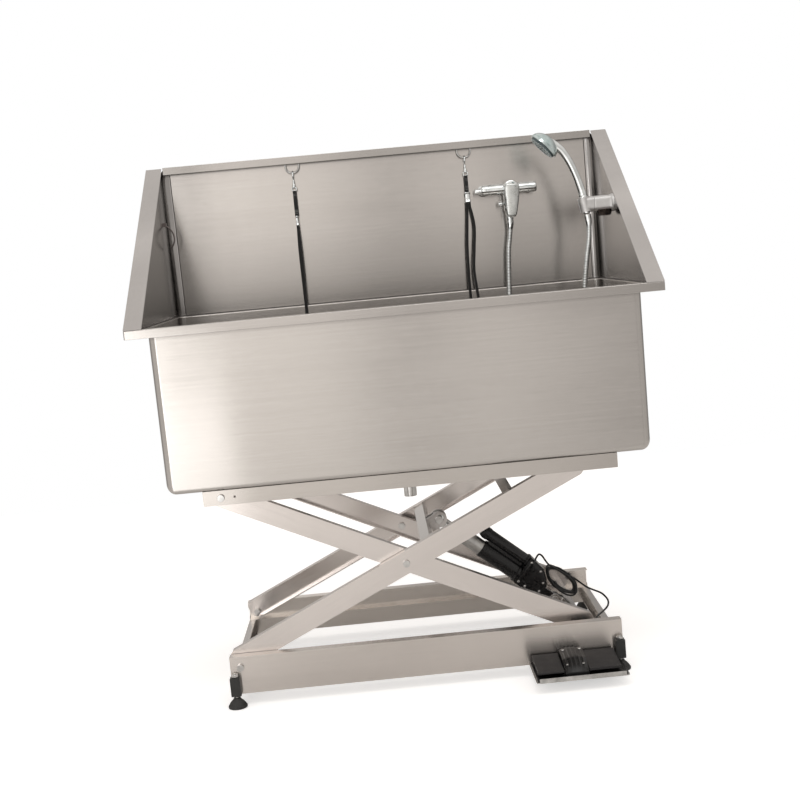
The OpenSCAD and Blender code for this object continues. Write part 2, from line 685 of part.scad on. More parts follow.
mixer_d = 29;
bar_from = mixer_x - 82;
bar_to = mixer_x + 74;
outlet_x = mixer_x - 7;
cap_front = mixer_y - 25;
cap_t = 9;
module wall_unions() color(chrome) placed()
    for (x = [mixer_x - 12 - mixer_w / 2, mixer_x - 12 + mixer_w / 2]) {
        cross_rod([x, 0, mixer_z], 32, back_y - sheet - 5, back_y - sheet);
        hex_rod([x, 0, mixer_z], 24, mixer_y + mixer_d / 2 - 2, back_y - sheet);
    }
module mixer_body() color(chrome) placed() {
    difference() {
        union() {
            translate([bar_from, mixer_y, mixer_z]) rotate([0, 90, 0])
                cylinder(h = bar_to - bar_from, d = mixer_d);
            translate([bar_from - 18, mixer_y, mixer_z - 2]) rotate([0, 90, 0]) cylinder(h = 19, d = 16);
            translate([outlet_x, mixer_y, mixer_z - 56]) cylinder(h = 56, d = 26);
            cross_rod([mixer_x, 0, mixer_z], 44, cap_front, mixer_y + 8);
            translate([outlet_x, mixer_y, mixer_low]) cylinder(h = 24, d = 20);
        }
        translate([outlet_x, mixer_y, mixer_low - cut]) cylinder(h = 18, d = 10);
        for (x = [mixer_x - 12 - mixer_w / 2, mixer_x - 12 + mixer_w / 2])
            cross_rod([x, 0, mixer_z], 30, mixer_y + mixer_d / 2 - 2, back_y);
    }
}
module mixer_cap() color(chrome) placed()
    cross_rod([mixer_x, 0, mixer_z], 42, cap_front - cap_t, cap_front - run_gap);
lever_turn = 4;
lever_t = 11;
module mixer_lever() color(chrome) placed()
    translate([mixer_x, cap_front - cap_t - run_gap, mixer_z]) rotate([0, lever_turn, 0])
        rotate([90, 0, 0]) hull() {
            translate([-20, -6, 0]) cube([42, 18, lever_t]);
            translate([-16, -44, 2]) cube([36, 10, lever_t - 2]);
            translate([-12, -80, 3]) cube([26, 10, lever_t - 3]);
        }
module diverter_knob() color(chrome) placed()
    translate([outlet_x - 13 - run_gap, mixer_y, mixer_z - 41]) rotate([0, -90, 0]) {
        cylinder(h = 5, d = 8);
        translate([0, 0, 5]) cylinder(h = 11, d1 = 14, d2 = 12);
    }

// Shower holder on the right guard, hand shower and hose

arm_from = cup_x + 23;
arm_high = 40;
module holder_bar(from, to) translate([from, cup_y, cup_z]) rotate([90, 0, 90])
    linear_extrude(to - from) round_rect(34, arm_high, 12);
module holder_base() color(chrome) placed() {
    plate = guard_x - sheet;
    translate([plate - 6, cup_y, cup_z]) rotate([0, 90, 0]) cylinder(h = 6, d = 46);
    holder_bar(arm_from + run_gap, plate - 5);
    translate([cup_x + 50, cup_y, cup_z - arm_high / 2 - 13]) cylinder(h = 18, d1 = 36, d2 = 46);
}
module in_seat() translate([cup_x, cup_y, cup_z]) rotate([0, -seat_lean, 0]) children();
grip_d = 20;
slot_w = 16;
module holder_cup() color(chrome) placed() difference() {
    union() {
        in_seat() translate([0, 0, -cup_h / 2]) cylinder(h = cup_h, d = 34);
        holder_bar(cup_x + 4, arm_from);
    }
    in_seat() translate([0, 0, -cup_h]) cylinder(h = 2 * cup_h, d1 = grip_d - 2.5, d2 = grip_d + 5.5);
    in_seat() translate([-cup_h, -slot_w / 2, -cup_h]) cube([cup_h, slot_w, 2 * cup_h]);
}
// Route of the grip and the middle of the head, in the plane of the seat
grip_route = [[0, 0, 20], [0, 0, 36], [-5, 0, 78], [-14, 0, 118], [-27, 0, 150], [-46, 0, 172]];
head_at = [-72, 0, 172];
head_turn = -124.5;
seat_low = -24;
module hand_shower() color(chrome) placed() in_seat() {
    translate([0, 0, seat_low]) cylinder(h = 45, d1 = grip_d - 1.7, d2 = grip_d + 2.8);
    tube(smooth(grip_route, 3), grip_d, grip_d - 1, 16, [0, 1, 0]);
    translate(head_at) rotate([0, head_turn, 0]) {
        translate([0, 0, -30]) cylinder(h = 16, d1 = 34, d2 = 74);
        translate([0, 0, -14]) cylinder(h = 14, d1 = 80, d2 = 84);
    }
}
module spray_face() color(dark) placed() in_seat()
    translate(head_at) rotate([0, head_turn, 0]) cylinder(h = 6, d1 = 74, d2 = 66);
// Hose points: x from the cup, depth, and height over the rim
function over_rim(route) = [for (p = route) p + [cup_x, 0, rim_z]];
hose_route = over_rim([[-175, 285, 194], [-175, 285, 172], [-180, 285, 135], [-186, 284, 97],
    [-192, 281, 10], [-195, 276, -60], [-194, 267, -150], [-183, 248, -240], [-158, 212, -315],
    [-120, 165, -352], [-78, 116, -340], [-47, 76, -270], [-27, 51, -160], [-18, 42, -60],
    [-15.5, 40, -11], [-11, 40, 24], [-3, 40, 74], [4, 40, 111], [6.8, 40, 143],
    [6.3, 40, 164.5], [4.4, 40, 178.1]]);
rib_count = 142;
rib_depth = 0.9;
bore_every = 6;
function running(p) = [for (i = 0, s = 0; i < len(p);
    s = i + 1 < len(p) ? s + norm(p[i + 1] - p[i]) : s, i = i + 1) [s, i]];
function evenly(p, count) = let (marks = running(p), total = marks[len(p) - 1][0])
    [for (k = [0 : count - 1]) let (f = lookup(total * k / (count - 1), marks),
        i = min(floor(f), len(p) - 2)) p[i] + (f - i) * (p[i + 1] - p[i])];
function round_ring(path, side, i, r) = ring(path[i], heading(path, i), side[i], r, r, 8);
module shower_hose() color(chrome) placed() {
    path = evenly(smooth(hose_route, 10), 2 * rib_count);
    side = normals(path, [1, 0, 0]);
    last = len(path) - 1;
    outer = [for (i = [0 : last])
        each round_ring(path, side, i, hose_d / 2 - rib_depth * (i % 2))];
    stops = concat([for (i = [0 : bore_every : last - bore_every]) i], [last]);
    inner = [for (k = [len(stops) - 1 : -1 : 0])
        each round_ring(path, side, stops[k], hose_d / 2 - 3)];
    rings = len(path) + len(stops);
    end = (rings - 1) * 8;
    closing = [for (k = [0 : 7], h = [0, 1]) let (n = (k + 1) % 8)
        h == 0 ? [end + k, k, end + n] : [end + n, k, n]];
    polyhedron(concat(outer, inner), concat(skin(rings, 8), closing));
    echo(hose_length = path_length(path));
}

// Grooming leashes: a snap hook on the ring, a short strap, a slider and a rope loop.
// The rim's back shelf pushes the hanging loop forward, so that the whole leash leans.

hang_y = back_y - shelf_side - 7;
rope_d = 7;
rope_wide = 2 * rope_d + 2;
strap_low = [250, 273];
slider_low = [223, 245];
hook_low = 320;
eye_r = 8.5;
leash_lean = atan((ring_y - hang_y) / (ring_low - rim_z));
function leash_y(h) = hang_y + max(h, 0) * tan(leash_lean);
module on_leash(side, h) translate([ring_x[side], leash_y(h), rim_z + h])
    rotate([-leash_lean, 0, 0]) children();
module leash_hook(side) {
    translate([ring_x[side], ring_y, ring_low + ring_wire / 2 + run_gap - eye_r])
        rotate([0, 90, 0]) rotate_extrude() translate([eye_r + 2, 0]) circle(d = 4, $fn = 24);
    on_leash(side, hook_low + 8) cylinder(h = ring_low - rim_z - hook_low - 26, d = 7);
    on_leash(side, hook_low) translate([-7, -3.5, 0]) cube([14, 7, 10]);
}
// Block that holds both ends of the rope, one strand beside the other
module leash_slider(side, wide, deep) on_leash(side, slider_low[side])
    translate([-wide / 2, -deep / 2, 0])
        cube([wide, deep, strap_low[side] - slider_low[side]]);
// Points of a loop: sideways, forward from the leaning line, and height over the rim
function loop_path(side, points) = [for (p = points)
    [ring_x[side] + p[0], leash_y(p[2]) + p[1], rim_z + p[2]]];
left_loop = [[-0.5, 4, 222.4], [-0.5, 4, 212], [-1, 4, 196], [-2, 4, 150], [-1, 4, 70], [0, 2, 5], [-2, 1, -80],
    [-6, 1, -160], [-6, 0, -196], [0, -4, -216], [6, -8, -196], [6, -8, -160], [3, -7, -80],
    [1, -6, 5], [2, -4, 70], [2, -4, 150], [1, -4, 196], [0.5, -4, 212],
    [0.5, -4, 222.8]];
right_loop = [[-4, 0, 244.7], [-4, 0, 230], [-7, 0, 190], [-13, 1, 124], [-16, 1, 36], [-16, 0, -25],
    [-15, 0, -110], [-12, -1, -180], [-1, -2, -216], [9, -2, -186], [9, -2, -110], [5, -2, -18],
    [0, -1, 52], [5, -1, 105], [12, 0, 172], [8, 0, 212], [4, 0, 232], [4, 0, 244.7]];
module leash_strap(side, points) {
    on_leash(side, strap_low[side]) translate([-5, -2, 0])
        cube([10, 4, hook_low - strap_low[side]]);
    route = loop_path(side, points);
    tube(smooth(route, 3), rope_d, rope_d, 8, [1, 0, 0]);
    echo(rope_length = path_length(route));
}
module leash_hook_left() color(steel) placed() leash_hook(0);
module leash_hook_right() color(steel) placed() leash_hook(1);
module leash_slider_left() color(chrome) placed() leash_slider(0, 9, rope_wide);
module leash_slider_right() color(chrome) placed() leash_slider(1, rope_wide, 9);
module leash_strap_left() color(black) placed() leash_strap(0, left_loop);
module leash_strap_right() color(black) placed() leash_strap(1, right_loop);

base_rail_front();
base_rail_rear();
base_cross_members();
foot_sleeves();
foot_front_left();
foot_front_right();
foot_rear_left();
foot_rear_right();
base_pivot_bolts();
pedal_tray();
pedal_base();
pedal_left();
pedal_right();
pedal_cord();
outer_arm_front();
outer_arm_rear();
outer_cross_tubes();
centre_bolts();
top_roller_axles();
top_rollers();
inner_arm_front();
inner_arm_rear();
inner_cross_tube();
base_roller_axles();
base_rollers();
lift_cable();
cable_hank();
actuator_gearbox();
actuator_motor();
actuator_tube();
lower_pin();
actuator_rod();
rod_pin();
top_rail_front();
top_rail_rear();
top_cross_members();
top_pivot_bolts();
tub_basin();
back_guard();
left_guard();
right_guard();
drain_body();
drain_strainer();
tie_rings();
wall_unions();
mixer_body();
mixer_cap();
mixer_lever();
diverter_knob();
holder_base();
holder_cup();
hand_shower();
spray_face();
shower_hose();
leash_hook_left();
leash_strap_left();
leash_slider_left();
leash_hook_right();
leash_strap_right();
leash_slider_right();
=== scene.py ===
"""Dog grooming tub on an electric scissor lift, dressed for the photograph's view.

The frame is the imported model's: +X right, -Y towards the viewer, +Z up, in metres. Pieces are computed in
millimetres, in a frame of their own whose origin lies 52.5 mm behind the object's. After the camera and the cords,
the sections follow the tub as it is put together, from the feet up, and the room comes last.
"""
import math

import bmesh
import bpy
import numpy as np
from mathutils import Matrix, Vector


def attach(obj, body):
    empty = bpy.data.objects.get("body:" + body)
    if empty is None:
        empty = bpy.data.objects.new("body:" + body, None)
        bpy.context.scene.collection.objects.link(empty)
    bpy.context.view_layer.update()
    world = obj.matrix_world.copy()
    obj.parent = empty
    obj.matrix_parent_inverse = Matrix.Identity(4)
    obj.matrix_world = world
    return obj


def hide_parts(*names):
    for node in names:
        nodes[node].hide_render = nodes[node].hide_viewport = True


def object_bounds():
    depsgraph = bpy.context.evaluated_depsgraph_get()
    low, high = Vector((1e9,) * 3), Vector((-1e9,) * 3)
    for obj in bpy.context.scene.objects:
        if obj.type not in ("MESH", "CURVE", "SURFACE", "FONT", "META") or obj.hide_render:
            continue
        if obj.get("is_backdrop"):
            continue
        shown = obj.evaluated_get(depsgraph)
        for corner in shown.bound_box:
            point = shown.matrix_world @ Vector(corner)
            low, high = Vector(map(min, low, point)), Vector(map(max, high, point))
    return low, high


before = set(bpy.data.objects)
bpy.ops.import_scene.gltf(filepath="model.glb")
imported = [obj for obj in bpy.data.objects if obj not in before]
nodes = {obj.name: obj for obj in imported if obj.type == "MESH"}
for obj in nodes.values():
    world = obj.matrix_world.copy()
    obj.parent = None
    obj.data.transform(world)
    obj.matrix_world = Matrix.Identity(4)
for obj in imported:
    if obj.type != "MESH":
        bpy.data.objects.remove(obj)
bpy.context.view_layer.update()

# Camera: held just above the rim, 3.6 m away, looking slightly down and rolled five degrees.
yaw, pitch, roll = math.radians(1.5757), math.radians(9.190), math.radians(5.2447)
camera_at = Vector((-0.05578, -3.58254, 1.09488))
picture_px, focal_px, shift_px, sensor_mm = 800, 1374.5, (-25, 70), 36
forward = Vector((math.sin(yaw) * math.cos(pitch), math.cos(yaw) * math.cos(pitch), -math.sin(pitch)))
level = Vector((math.cos(yaw), -math.sin(yaw), 0))
above = level.cross(forward)
right = level * math.cos(roll) - above * math.sin(roll)
up = level * math.sin(roll) + above * math.cos(roll)
view = bpy.data.cameras.new("photo_camera")
view.sensor_width = sensor_mm
view.lens = focal_px * sensor_mm / picture_px
view.shift_x, view.shift_y = shift_px[0] / picture_px, shift_px[1] / picture_px
camera = bpy.data.objects.new("photo_camera", view)
camera.matrix_world = Matrix.Translation(camera_at) @ Matrix((right, up, -forward)).transposed().to_4x4()
bpy.context.scene.collection.objects.link(camera)
bpy.context.scene.camera = camera


# ---------------------------------------------------------------- cable of the lift, cord of the foot switch
# Black PVC, 5 mm thick, limp enough to lie in turns about 96 mm long. The cable leaves the gearbox in a moulded
# boot, lies in a tied hank and meets the foot switch's cord behind the front rail, in the two shells of an inline
# connector.

origin_y = 52.5


def world_of(points):
    """Millimetres in the tub's frame to metres in the object's."""
    return (np.asarray(points, float) + (0, origin_y, 0)) / 1000


def smooth(p, steps):
    """Catmull-Rom curve through the points: 0.5 (2b + (c - a)t + (2a - 5b + 4c - d)t^2 + (3b - a - 3c + d)t^3)."""
    p = np.asarray(p, float)
    q = np.vstack([p[:1], p, p[-1:]])[:, None]
    a, b, c, d = q[:-3], q[1:-2], q[2:-1], q[3:]
    t = (np.arange(steps) / steps)[:, None]
    curve = 0.5 * (2 * b + (c - a) * t + (2 * a - 5 * b + 4 * c - d) * t ** 2 + (3 * b - a - 3 * c + d) * t ** 3)
    return np.vstack([curve.reshape(-1, 3), p[-1:]])


def run_of(path):
    """Distance along the path at each of its points."""
    return np.concatenate([[0], np.cumsum(np.linalg.norm(np.diff(path, axis=0), axis=1))])


def evenly(path, count):
    """The same line with its points at equal distances."""
    marks = run_of(path)
    at = np.linspace(0, marks[-1], count)
    return np.stack([np.interp(at, marks, path[:, k]) for k in range(3)], axis=1)


def stacked(rows, ends="capped"):
    """Skin over rings of equal count, in order: each square joins two neighbours on a ring to the two beyond them.
    Its ends are capped, or looped so that the last ring meets the first."""
    rows = np.asarray(rows, float)
    n, sides = rows.shape[:2]
    start = np.arange(n - (ends == "capped"))[:, None] * sides
    spot = np.arange(sides)
    after, beyond = (spot + 1) % sides, (start + sides) % (n * sides)
    faces = np.stack([start + spot, start + after, beyond + after, beyond + spot], axis=-1).reshape(-1, 4).tolist()
    if ends == "capped":
        faces += [spot[::-1].tolist(), (spot + (n - 1) * sides).tolist()]
    return rows.reshape(-1, 3), faces


def swept(path, radius, sides, first=(1, 0, 0)):
    """Closed tube round a path. radius is one number or one for each point. The section's first axis is carried
    along: n = unit(n - (n . t) t)."""
    path = np.asarray(path, float)
    ahead = np.gradient(path, axis=0)
    ahead /= np.linalg.norm(ahead, axis=1)[:, None]
    side = np.asarray(first, float)
    turn = np.arange(sides)[:, None] * 2 * np.pi / sides
    rows = []
    for at, t, r in zip(path, ahead, np.broadcast_to(radius, len(path))):
        side = side - side @ t * t
        side /= np.linalg.norm(side)
        rows.append(at + r * (np.cos(turn) * side + np.sin(turn) * np.cross(t, side)))
    return stacked(rows)


def joined(*parts):
    """One mesh out of several closed ones."""
    starts = np.cumsum([0] + [len(points) for points, faces in parts])
    return (np.vstack([points for points, faces in parts]),
            [[start + i for i in face] for start, (points, faces) in zip(starts.tolist(), parts) for face in faces])


def placed(name, data, finish, body, gone=()):
    """Makes the piece of its mesh or curve, riding on its body in place of the nodes that it replaces."""
    data.materials.append(finish)
    made = bpy.data.objects.new(name, data)
    bpy.context.scene.collection.objects.link(made)
    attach(made, body)
    if gone:
        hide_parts(*gone)
    return made


def shape(name, solid, finish, body, gone=(), sharp=38):
    """Makes a mesh piece from millimetres in the tub's frame, smooth but for edges over sharp degrees."""
    points, faces = solid
    mesh = bpy.data.meshes.new(name)
    mesh.from_pydata(world_of(points).tolist(), [], faces)
    grid = bmesh.new()
    grid.from_mesh(mesh)
    bmesh.ops.recalc_face_normals(grid, faces=grid.faces)
    grid.to_mesh(mesh)
    grid.free()
    mesh.shade_smooth()
    mesh.set_sharp_from_angle(angle=math.radians(sharp))
    return placed(name, mesh, finish, body, gone)


def wire(name, path, width, finish, body, gone=()):
    """Makes a round cord as a curve of one open spline."""
    curve = bpy.data.curves.new(name, "CURVE")
    curve.dimensions = "3D"
    curve.bevel_depth = width / 2000
    curve.bevel_resolution = 5
    curve.use_fill_caps = True
    line = curve.splines.new("POLY")
    line.points.add(len(path) - 1)
    line.points.foreach_set("co", np.hstack([world_of(path), np.ones((len(path), 1))]).ravel())
    return placed(name, curve, finish, body, gone)


def linear(code):
    """Linear colour of an sRGB hex code: c / 12.92 or ((c + 0.055) / 1.055) ** 2.4."""
    parts = [int(code[i:i + 2], 16) / 255 for i in (1, 3, 5)]
    return [c / 12.92 if c <= 0.04045 else ((c + 0.055) / 1.055) ** 2.4 for c in parts] + [1.0]


def node(tree, kind, inputs, out=0, **settings):
    """Adds one shader node and gives its output. An input given as a socket is linked, any other is set."""
    made = tree.nodes.new("ShaderNode" + kind)
    for key, value in settings.items():
        setattr(made, key, value)
    for key, value in inputs.items():
        if isinstance(value, bpy.types.NodeSocket):
            tree.links.new(value, made.inputs[key])
        else:
            made.inputs[key].default_value = value
    return made.outputs[out]


def blank(name):
    """New material with an empty tree but for its output."""
    made = bpy.data.materials.new(name)
    made.use_nodes = True
    made.node_tree.nodes.remove(made.node_tree.nodes["Principled BSDF"])
    return made, made.node_tree


def shaded(tree, sockets):
    """Gives the tree its one Principled shader."""
    tree.links.new(node(tree, "BsdfPrincipled", sockets), tree.nodes["Material Output"].inputs["Surface"])


# Nearly all the values of a noise lie between these two, so a range starts and ends there.
noise_span = {"From Min": 0.3, "From Max": 0.7}


def moulded(name, dark, light, rough, grain_mm, depth=0.25):
    """Moulded plastic or paint: a fine spark-eroded grain, and handling dust that lightens it in patches 30 mm
    wide. The grain is drawn coarser than the real one, so that it shows."""
    made, tree = blank(name)
    place = node(tree, "TexCoord", {}, "Object")
    grain = node(tree, "TexVoronoi", {"Vector": place, "Scale": 1000 / grain_mm})
    dust = node(tree, "TexNoise", {"Vector": place, "Scale": 30.0, "Detail": 5.0, "Roughness": 0.65})
    amount = node(tree, "MapRange", {"Value": dust, **noise_span})
    colour = node(tree, "Mix", {0: amount, 6: linear(dark), 7: linear(light)}, 2, data_type="RGBA")
    gloss = node(tree, "MapRange", {"Value": dust, **noise_span, "To Min": rough - 0.07, "To Max": rough + 0.1})
    bump = node(tree, "Bump", {"Height": grain, "Strength": depth, "Distance": 0.0002})
    shaded(tree, {"Base Color": colour, "Roughness": gloss, "Normal": bump})
    return made


# Cable sheath of PVC, extruded: soft black with a low sheen along its length.
sheath = moulded("pvc_black_cable", "#0a0a0b", "#1a1a1b", 0.33, 0.6, 0.12)
# Black moulded plastic of boots, ties, sleeves and pads: a matt charcoal, grey where hands have dusted it.
foot_plastic = moulded("plastic_black_foot", "#161616", "#2b2b2a", 0.42, 0.7)

pivot_z = 98.55
lift_z = np.array([0, 0, pivot_z])
cable_d = 5
hank_at, hank_pitch, hank_turns, hank_steps, hank_lean = (386, -6, 71.5), 5.8, 6, 24, 46


def hank_point(t):
    """Turn t of the tied hank, an oval a by b in the plane of the lift whose size and lean w change a little from
    turn to turn: (a cos v cos w + b sin v sin w, pitch (t - 3), b sin v cos w - a cos v sin w), v falling by 360
    degrees in each."""
    v, a, b = np.radians(90 - 360 * t), 48 + 4 * np.sin(np.radians(200 * t)), 21 + 3 * np.sin(np.radians(290 * t))
    w = np.radians(hank_lean + 5 * np.sin(np.radians(150 * t)))
    return np.stack([a * np.cos(v) * np.cos(w) + b * np.sin(v) * np.sin(w), hank_pitch * (t - hank_turns / 2),
                     b * np.sin(v) * np.cos(w) - a * np.cos(v) * np.sin(w)], axis=-1) + hank_at + lift_z


hank = hank_point(np.arange(hank_turns * hank_steps + 1) / hank_steps)
lead_in = np.array([[307, -25.5, 113.5], [307, -33, 113.8], [308, -41, 119], [311, -45, 131], [318, -43, 147],
                    [327, -38, 156], [336, -33, 150], [344, -30, 136], [354, -29, 122], [376, -28, 106]]) + lift_z
lead_out = np.array([[412, 12, 77], [426, 8, 67], [440, -8, 57], [452, -34, 51], [466, -66, 49.5], [480, -100, 48],
                     [490, -130, 37], [485, -152, 27], [468, -175, 20], [451, -195, 15], [440, -214, 8],
                     [436, -230, -3], [436, -238, -16]]) + lift_z
cable_path = np.vstack([smooth(np.vstack([lead_in, hank[:1]]), 3)[:-1], hank,
                        smooth(np.vstack([hank[-1:], lead_out]), 3)[1:]])
lift_cable = wire("lift_cable_whole", cable_path, cable_d, sheath, "inner_arms",
                  ["lift_cable", "cable_hank"])

# Cord of the foot switch: out of the pedal base, through the front rail, to the same connector.
pedal_path = smooth(np.array([[365, -293, -48.5], [365, -276, -48.5], [365, -258, -48.5], [372, -245, -51],
                              [392, -239, -56], [416, -238, -54], [430, -238, -45], [436, -238, -31],
                              [436, -238, -17.5]]) + lift_z, 3)
pedal_cord = wire("foot_switch_cord", pedal_path, cable_d, sheath, "base", ["pedal_cord"])

# The connector is in two black shells with a waist; each half rides with its own cord.
plug_x, plug_y = 436, -238
upper_half, lower_half = [
    shape(name, swept([(plug_x, plug_y, pivot_z + z) for z in heights], radii, 20), foot_plastic, body)
    for name, body, heights, radii in (
        ("lift_cable_connector", "inner_arms", (-15.9, -15.2, -13.6, -6, -4.4, 0, 3),
         (3.6, 4.3, 4.5, 4.5, 3.6, 3.4, 2.7)),
        ("foot_cord_connector", "base", (-33, -29, -25, -23.4, -19.4, -17.9, -16.4),
         (2.7, 3.4, 3.6, 4.5, 4.5, 4.3, 3.6)))]

# Strain relief at the gearbox: a tapered boot, 16 mm long, with a groove at every sixth ring.
boot_rings = 24
boot_at = evenly(cable_path[:12], 60)[:boot_rings]
boot_r = np.linspace(5.2, 3.1, boot_rings) - 0.5 * (np.arange(boot_rings) % 6 == 5)
boot = shape("lift_cable_boot", swept(boot_at, boot_r, 20), foot_plastic, "inner_arms")

# Two cable ties round the hank where its turns run side by side: a band 3.6 mm wide and 1.1 mm thick on an ellipse.
ties = []
w = np.radians(hank_lean)
along, across = np.array([np.cos(w), 0, -np.sin(w)]), np.array([np.sin(w), 0, np.cos(w)])
a = np.linspace(0, 2 * np.pi, 41)[:-1, None]
for turn in (0.02, 0.52):
    at = hank_point(np.arange(hank_turns) + turn)
    half = np.ptp(at[:, 1]) / 2 + 4.6
    out = half * np.cos(a) * np.array([0, 1.0, 0]) + 8.2 * np.sin(a) * across
    away = out / np.linalg.norm(out, axis=1)[:, None]
    corners = [at.mean(axis=0) + out + s * along + h * away for s, h in ((-1.8, 0), (1.8, 0), (1.8, 1.1), (-1.8, 1.1))]
    ties.append(stacked(np.stack(corners, axis=1), "looped"))
hank_ties = shape("hank_ties", joined(*ties), foot_plastic, "inner_arms")


# ---------------------------------------------------------------- shower hose
# Interlocked strip of chromed brass, 14 mm over its rounded hoops, 4.25 mm apart. It hangs from the mixer into the
# tub and up to the grip, and a conical nut screws it on at each end. r(s) = 6.2 + 0.8 |cos(pi s / 4.25)|^0.6.

def plated(name, dark, light, rough):
    """Plated metal: a mirror with a thin film that dulls it in patches 22 mm wide and dried drops 4 mm across."""
    made, tree = blank(name)
    place = node(tree, "TexCoord", {}, "Object")
    film_and_painted_reflection = node(tree, "TexNoise", {"Vector": place, "Scale": 45.0, "Detail": 5.0, "Roughness": 0.6})
    drops = node(tree, "TexVoronoi", {"Vector": place, "Scale": 230.0})
    dulled = node(tree, "MapRange", {"Value": film_and_painted_reflection, **noise_span, "To Min": rough, "To Max": rough + 0.08})
    spots = node(tree, "MapRange", {"Value": drops, "From Max": 0.25, "To Min": 0.05, "To Max": 0.0})
    gloss = node(tree, "Math", {0: dulled, 1: spots}, operation="ADD")
    amount = node(tree, "MapRange", {"Value": film_and_painted_reflection, **noise_span})
    colour = node(tree, "Mix", {0: amount, 6: linear(dark), 7: linear(light)}, 2, data_type="RGBA")
    wave = node(tree, "Bump", {"Height": film_and_painted_reflection, "Strength": 0.05, "Distance": 0.001})
    shaded(tree, {"Base Color": colour, "Metallic": 1.0, "Roughness": gloss, "Normal": wave})
    return made


# Chrome on brass, polished: white and near black side by side, with a cold tone.
chrome = plated("chrome_polished", "#d4d8d8", "#f2f5f5", 0.04)

rim_z, cup_x = 962.26, 530
hoops, hoop_steps = 284, 5
hose_line = np.array([[-175, 285, 194], [-175, 285, 172], [-180, 285, 135], [-186, 284, 97], [-192, 281, 10],
                      [-195, 276, -60], [-194, 267, -150], [-183, 248, -240], [-158, 212, -315], [-120, 165, -352],
                      [-78, 116, -340], [-47, 76, -270], [-27, 51, -160], [-18, 42, -60], [-15.5, 40, -11],
                      [-11, 40, 24], [-3, 40, 74], [4, 40, 111], [6.8, 40, 143], [6.3, 40, 164.5],
                      [4.4, 40, 178.1]]) + (cup_x, 0, rim_z)
hose_path = evenly(smooth(hose_line, 10), hoops * hoop_steps + 1)
hoop = 6.2 + 0.8 * np.abs(np.cos(np.pi * np.arange(len(hose_path)) / hoop_steps)) ** 0.6
hose = shape("hose_interlocked", swept(hose_path, hoop, 14), chrome, "top", ["shower_hose"], sharp=60)

# The nuts: a smooth cone over the first 33 mm at the mixer and the last 30 mm under the grip.
nut_low = evenly(hose_path[:40], 12)
nut_top = evenly(hose_path[-36:], 12)
shape("hose_nuts", joined(
    swept(nut_low, (9.6, 9.8, 9.8, 9.2, 9.6, 9.7, 9.5, 9.1, 8.7, 8.3, 7.9, 7.4), 28),
    swept(nut_top, (7.4, 7.8, 8.1, 8.5, 8.8, 9.1, 9.3, 9.0, 9.3, 9.4, 9.4, 9.1), 28)), chrome, "top")


# ---------------------------------------------------------------- leashes
# Each hangs from a tie ring: a chromed swivel hook, a strap of 10 mm webbing sewn back on itself, a pressed slider,
# and a loop of black braided rope, 7 mm, that hangs into the tub.

def braided(name, dark, light, pitch_mm):
    """Braided or woven nylon: two sets of waves cross at 0.8 rad to each side, so that each strand shows as a
    short lozenge, with fuzz 1 mm across. The strands are drawn as coarse as they need to show."""
    made, tree = blank(name)
    place = node(tree, "TexCoord", {}, "Object")
    waves = [node(tree, "TexWave", {"Vector": node(tree, "Mapping", {"Vector": place, "Rotation": (0, turn, 0)}),
                                    "Scale": 1000 / pitch_mm / 3.2, "Distortion": 0.6, "Detail": 1.0},
                  "Fac", bands_direction="Z") for turn in (0.8, -0.8)]
    weave = node(tree, "Math", {0: waves[0], 1: waves[1]}, operation="MAXIMUM")
    fuzz = node(tree, "TexNoise", {"Vector": place, "Scale": 900.0, "Detail": 3.0, "Roughness": 0.55})
    tone = node(tree, "Math", {0: weave, 1: fuzz}, operation="MULTIPLY")
    colour = node(tree, "Mix", {0: tone, 6: linear(dark), 7: linear(light)}, 2, data_type="RGBA")
    gloss = node(tree, "MapRange", {"Value": fuzz, **noise_span, "To Min": 0.5, "To Max": 0.75})
    bump = node(tree, "Bump", {"Height": weave, "Strength": 0.7, "Distance": 0.0004})
    shaded(tree, {"Base Color": colour, "Roughness": gloss, "Normal": bump, "Sheen Weight": 0.12,
                  "Sheen Roughness": 0.4})
    return made


# Nylon, braided and woven: deep black that keeps its light in the fuzz at the strands' edges.
rope_nylon = braided("nylon_braided_rope", "#020202", "#0c0c0d", 1.6)
webbing = braided("nylon_webbing", "#020202", "#0e0e0f", 1.1)
# Satin chrome: a soft bright grey without sharp reflections.
satin_chrome = plated("chrome_satin", "#b9bbb9", "#d9dbd9", 0.24)

ring_x, ring_y, ring_low, clear_y = (-241, 243), 319.5, 1331.26, 286.5
slant = math.atan((ring_y - clear_y) / (ring_low - rim_z))
tilted, front = np.array([0, math.sin(slant), math.cos(slant)]), np.array([0, math.cos(slant), -math.sin(slant)])


def hang_y(h):
    """The leash leans back from clear_y at the rim to the ring: clear_y + h tan(slant)."""
    return clear_y + np.maximum(h, 0) * math.tan(slant)


# Loops of the ropes: to the right of the ring, to the rear of the slant, and above the rim.
left_loop = [[-0.5, 4, 222.4], [-0.5, 4, 212], [-1, 4, 196], [-2, 4, 150], [-1, 4, 70], [0, 2, 5], [-2, 1, -80],
             [-6, 1, -160], [-6, 0, -196], [0, -4, -216], [6, -8, -196], [6, -8, -160], [3, -7, -80],
             [1, -6, 5], [2, -4, 70], [2, -4, 150], [1, -4, 196], [0.5, -4, 212], [0.5, -4, 222.8]]
right_loop = [[-4, 0, 244.7], [-4, 0, 230], [-7, 0, 190], [-13, 1, 124], [-16, 1, 36], [-16, 0, -25],
              [-15, 0, -110], [-12, -1, -180], [-1, -2, -216], [9, -2, -186], [9, -2, -110], [5, -2, -18],
              [0, -1, 52], [5, -1, 105], [12, 0, 172], [8, 0, 212], [4, 0, 232], [4, 0, 244.7]]
rope_d, strap_top, strap_half, hook_r, ring_wire_r = 7, 320, 5.0, 10.5, 2.5
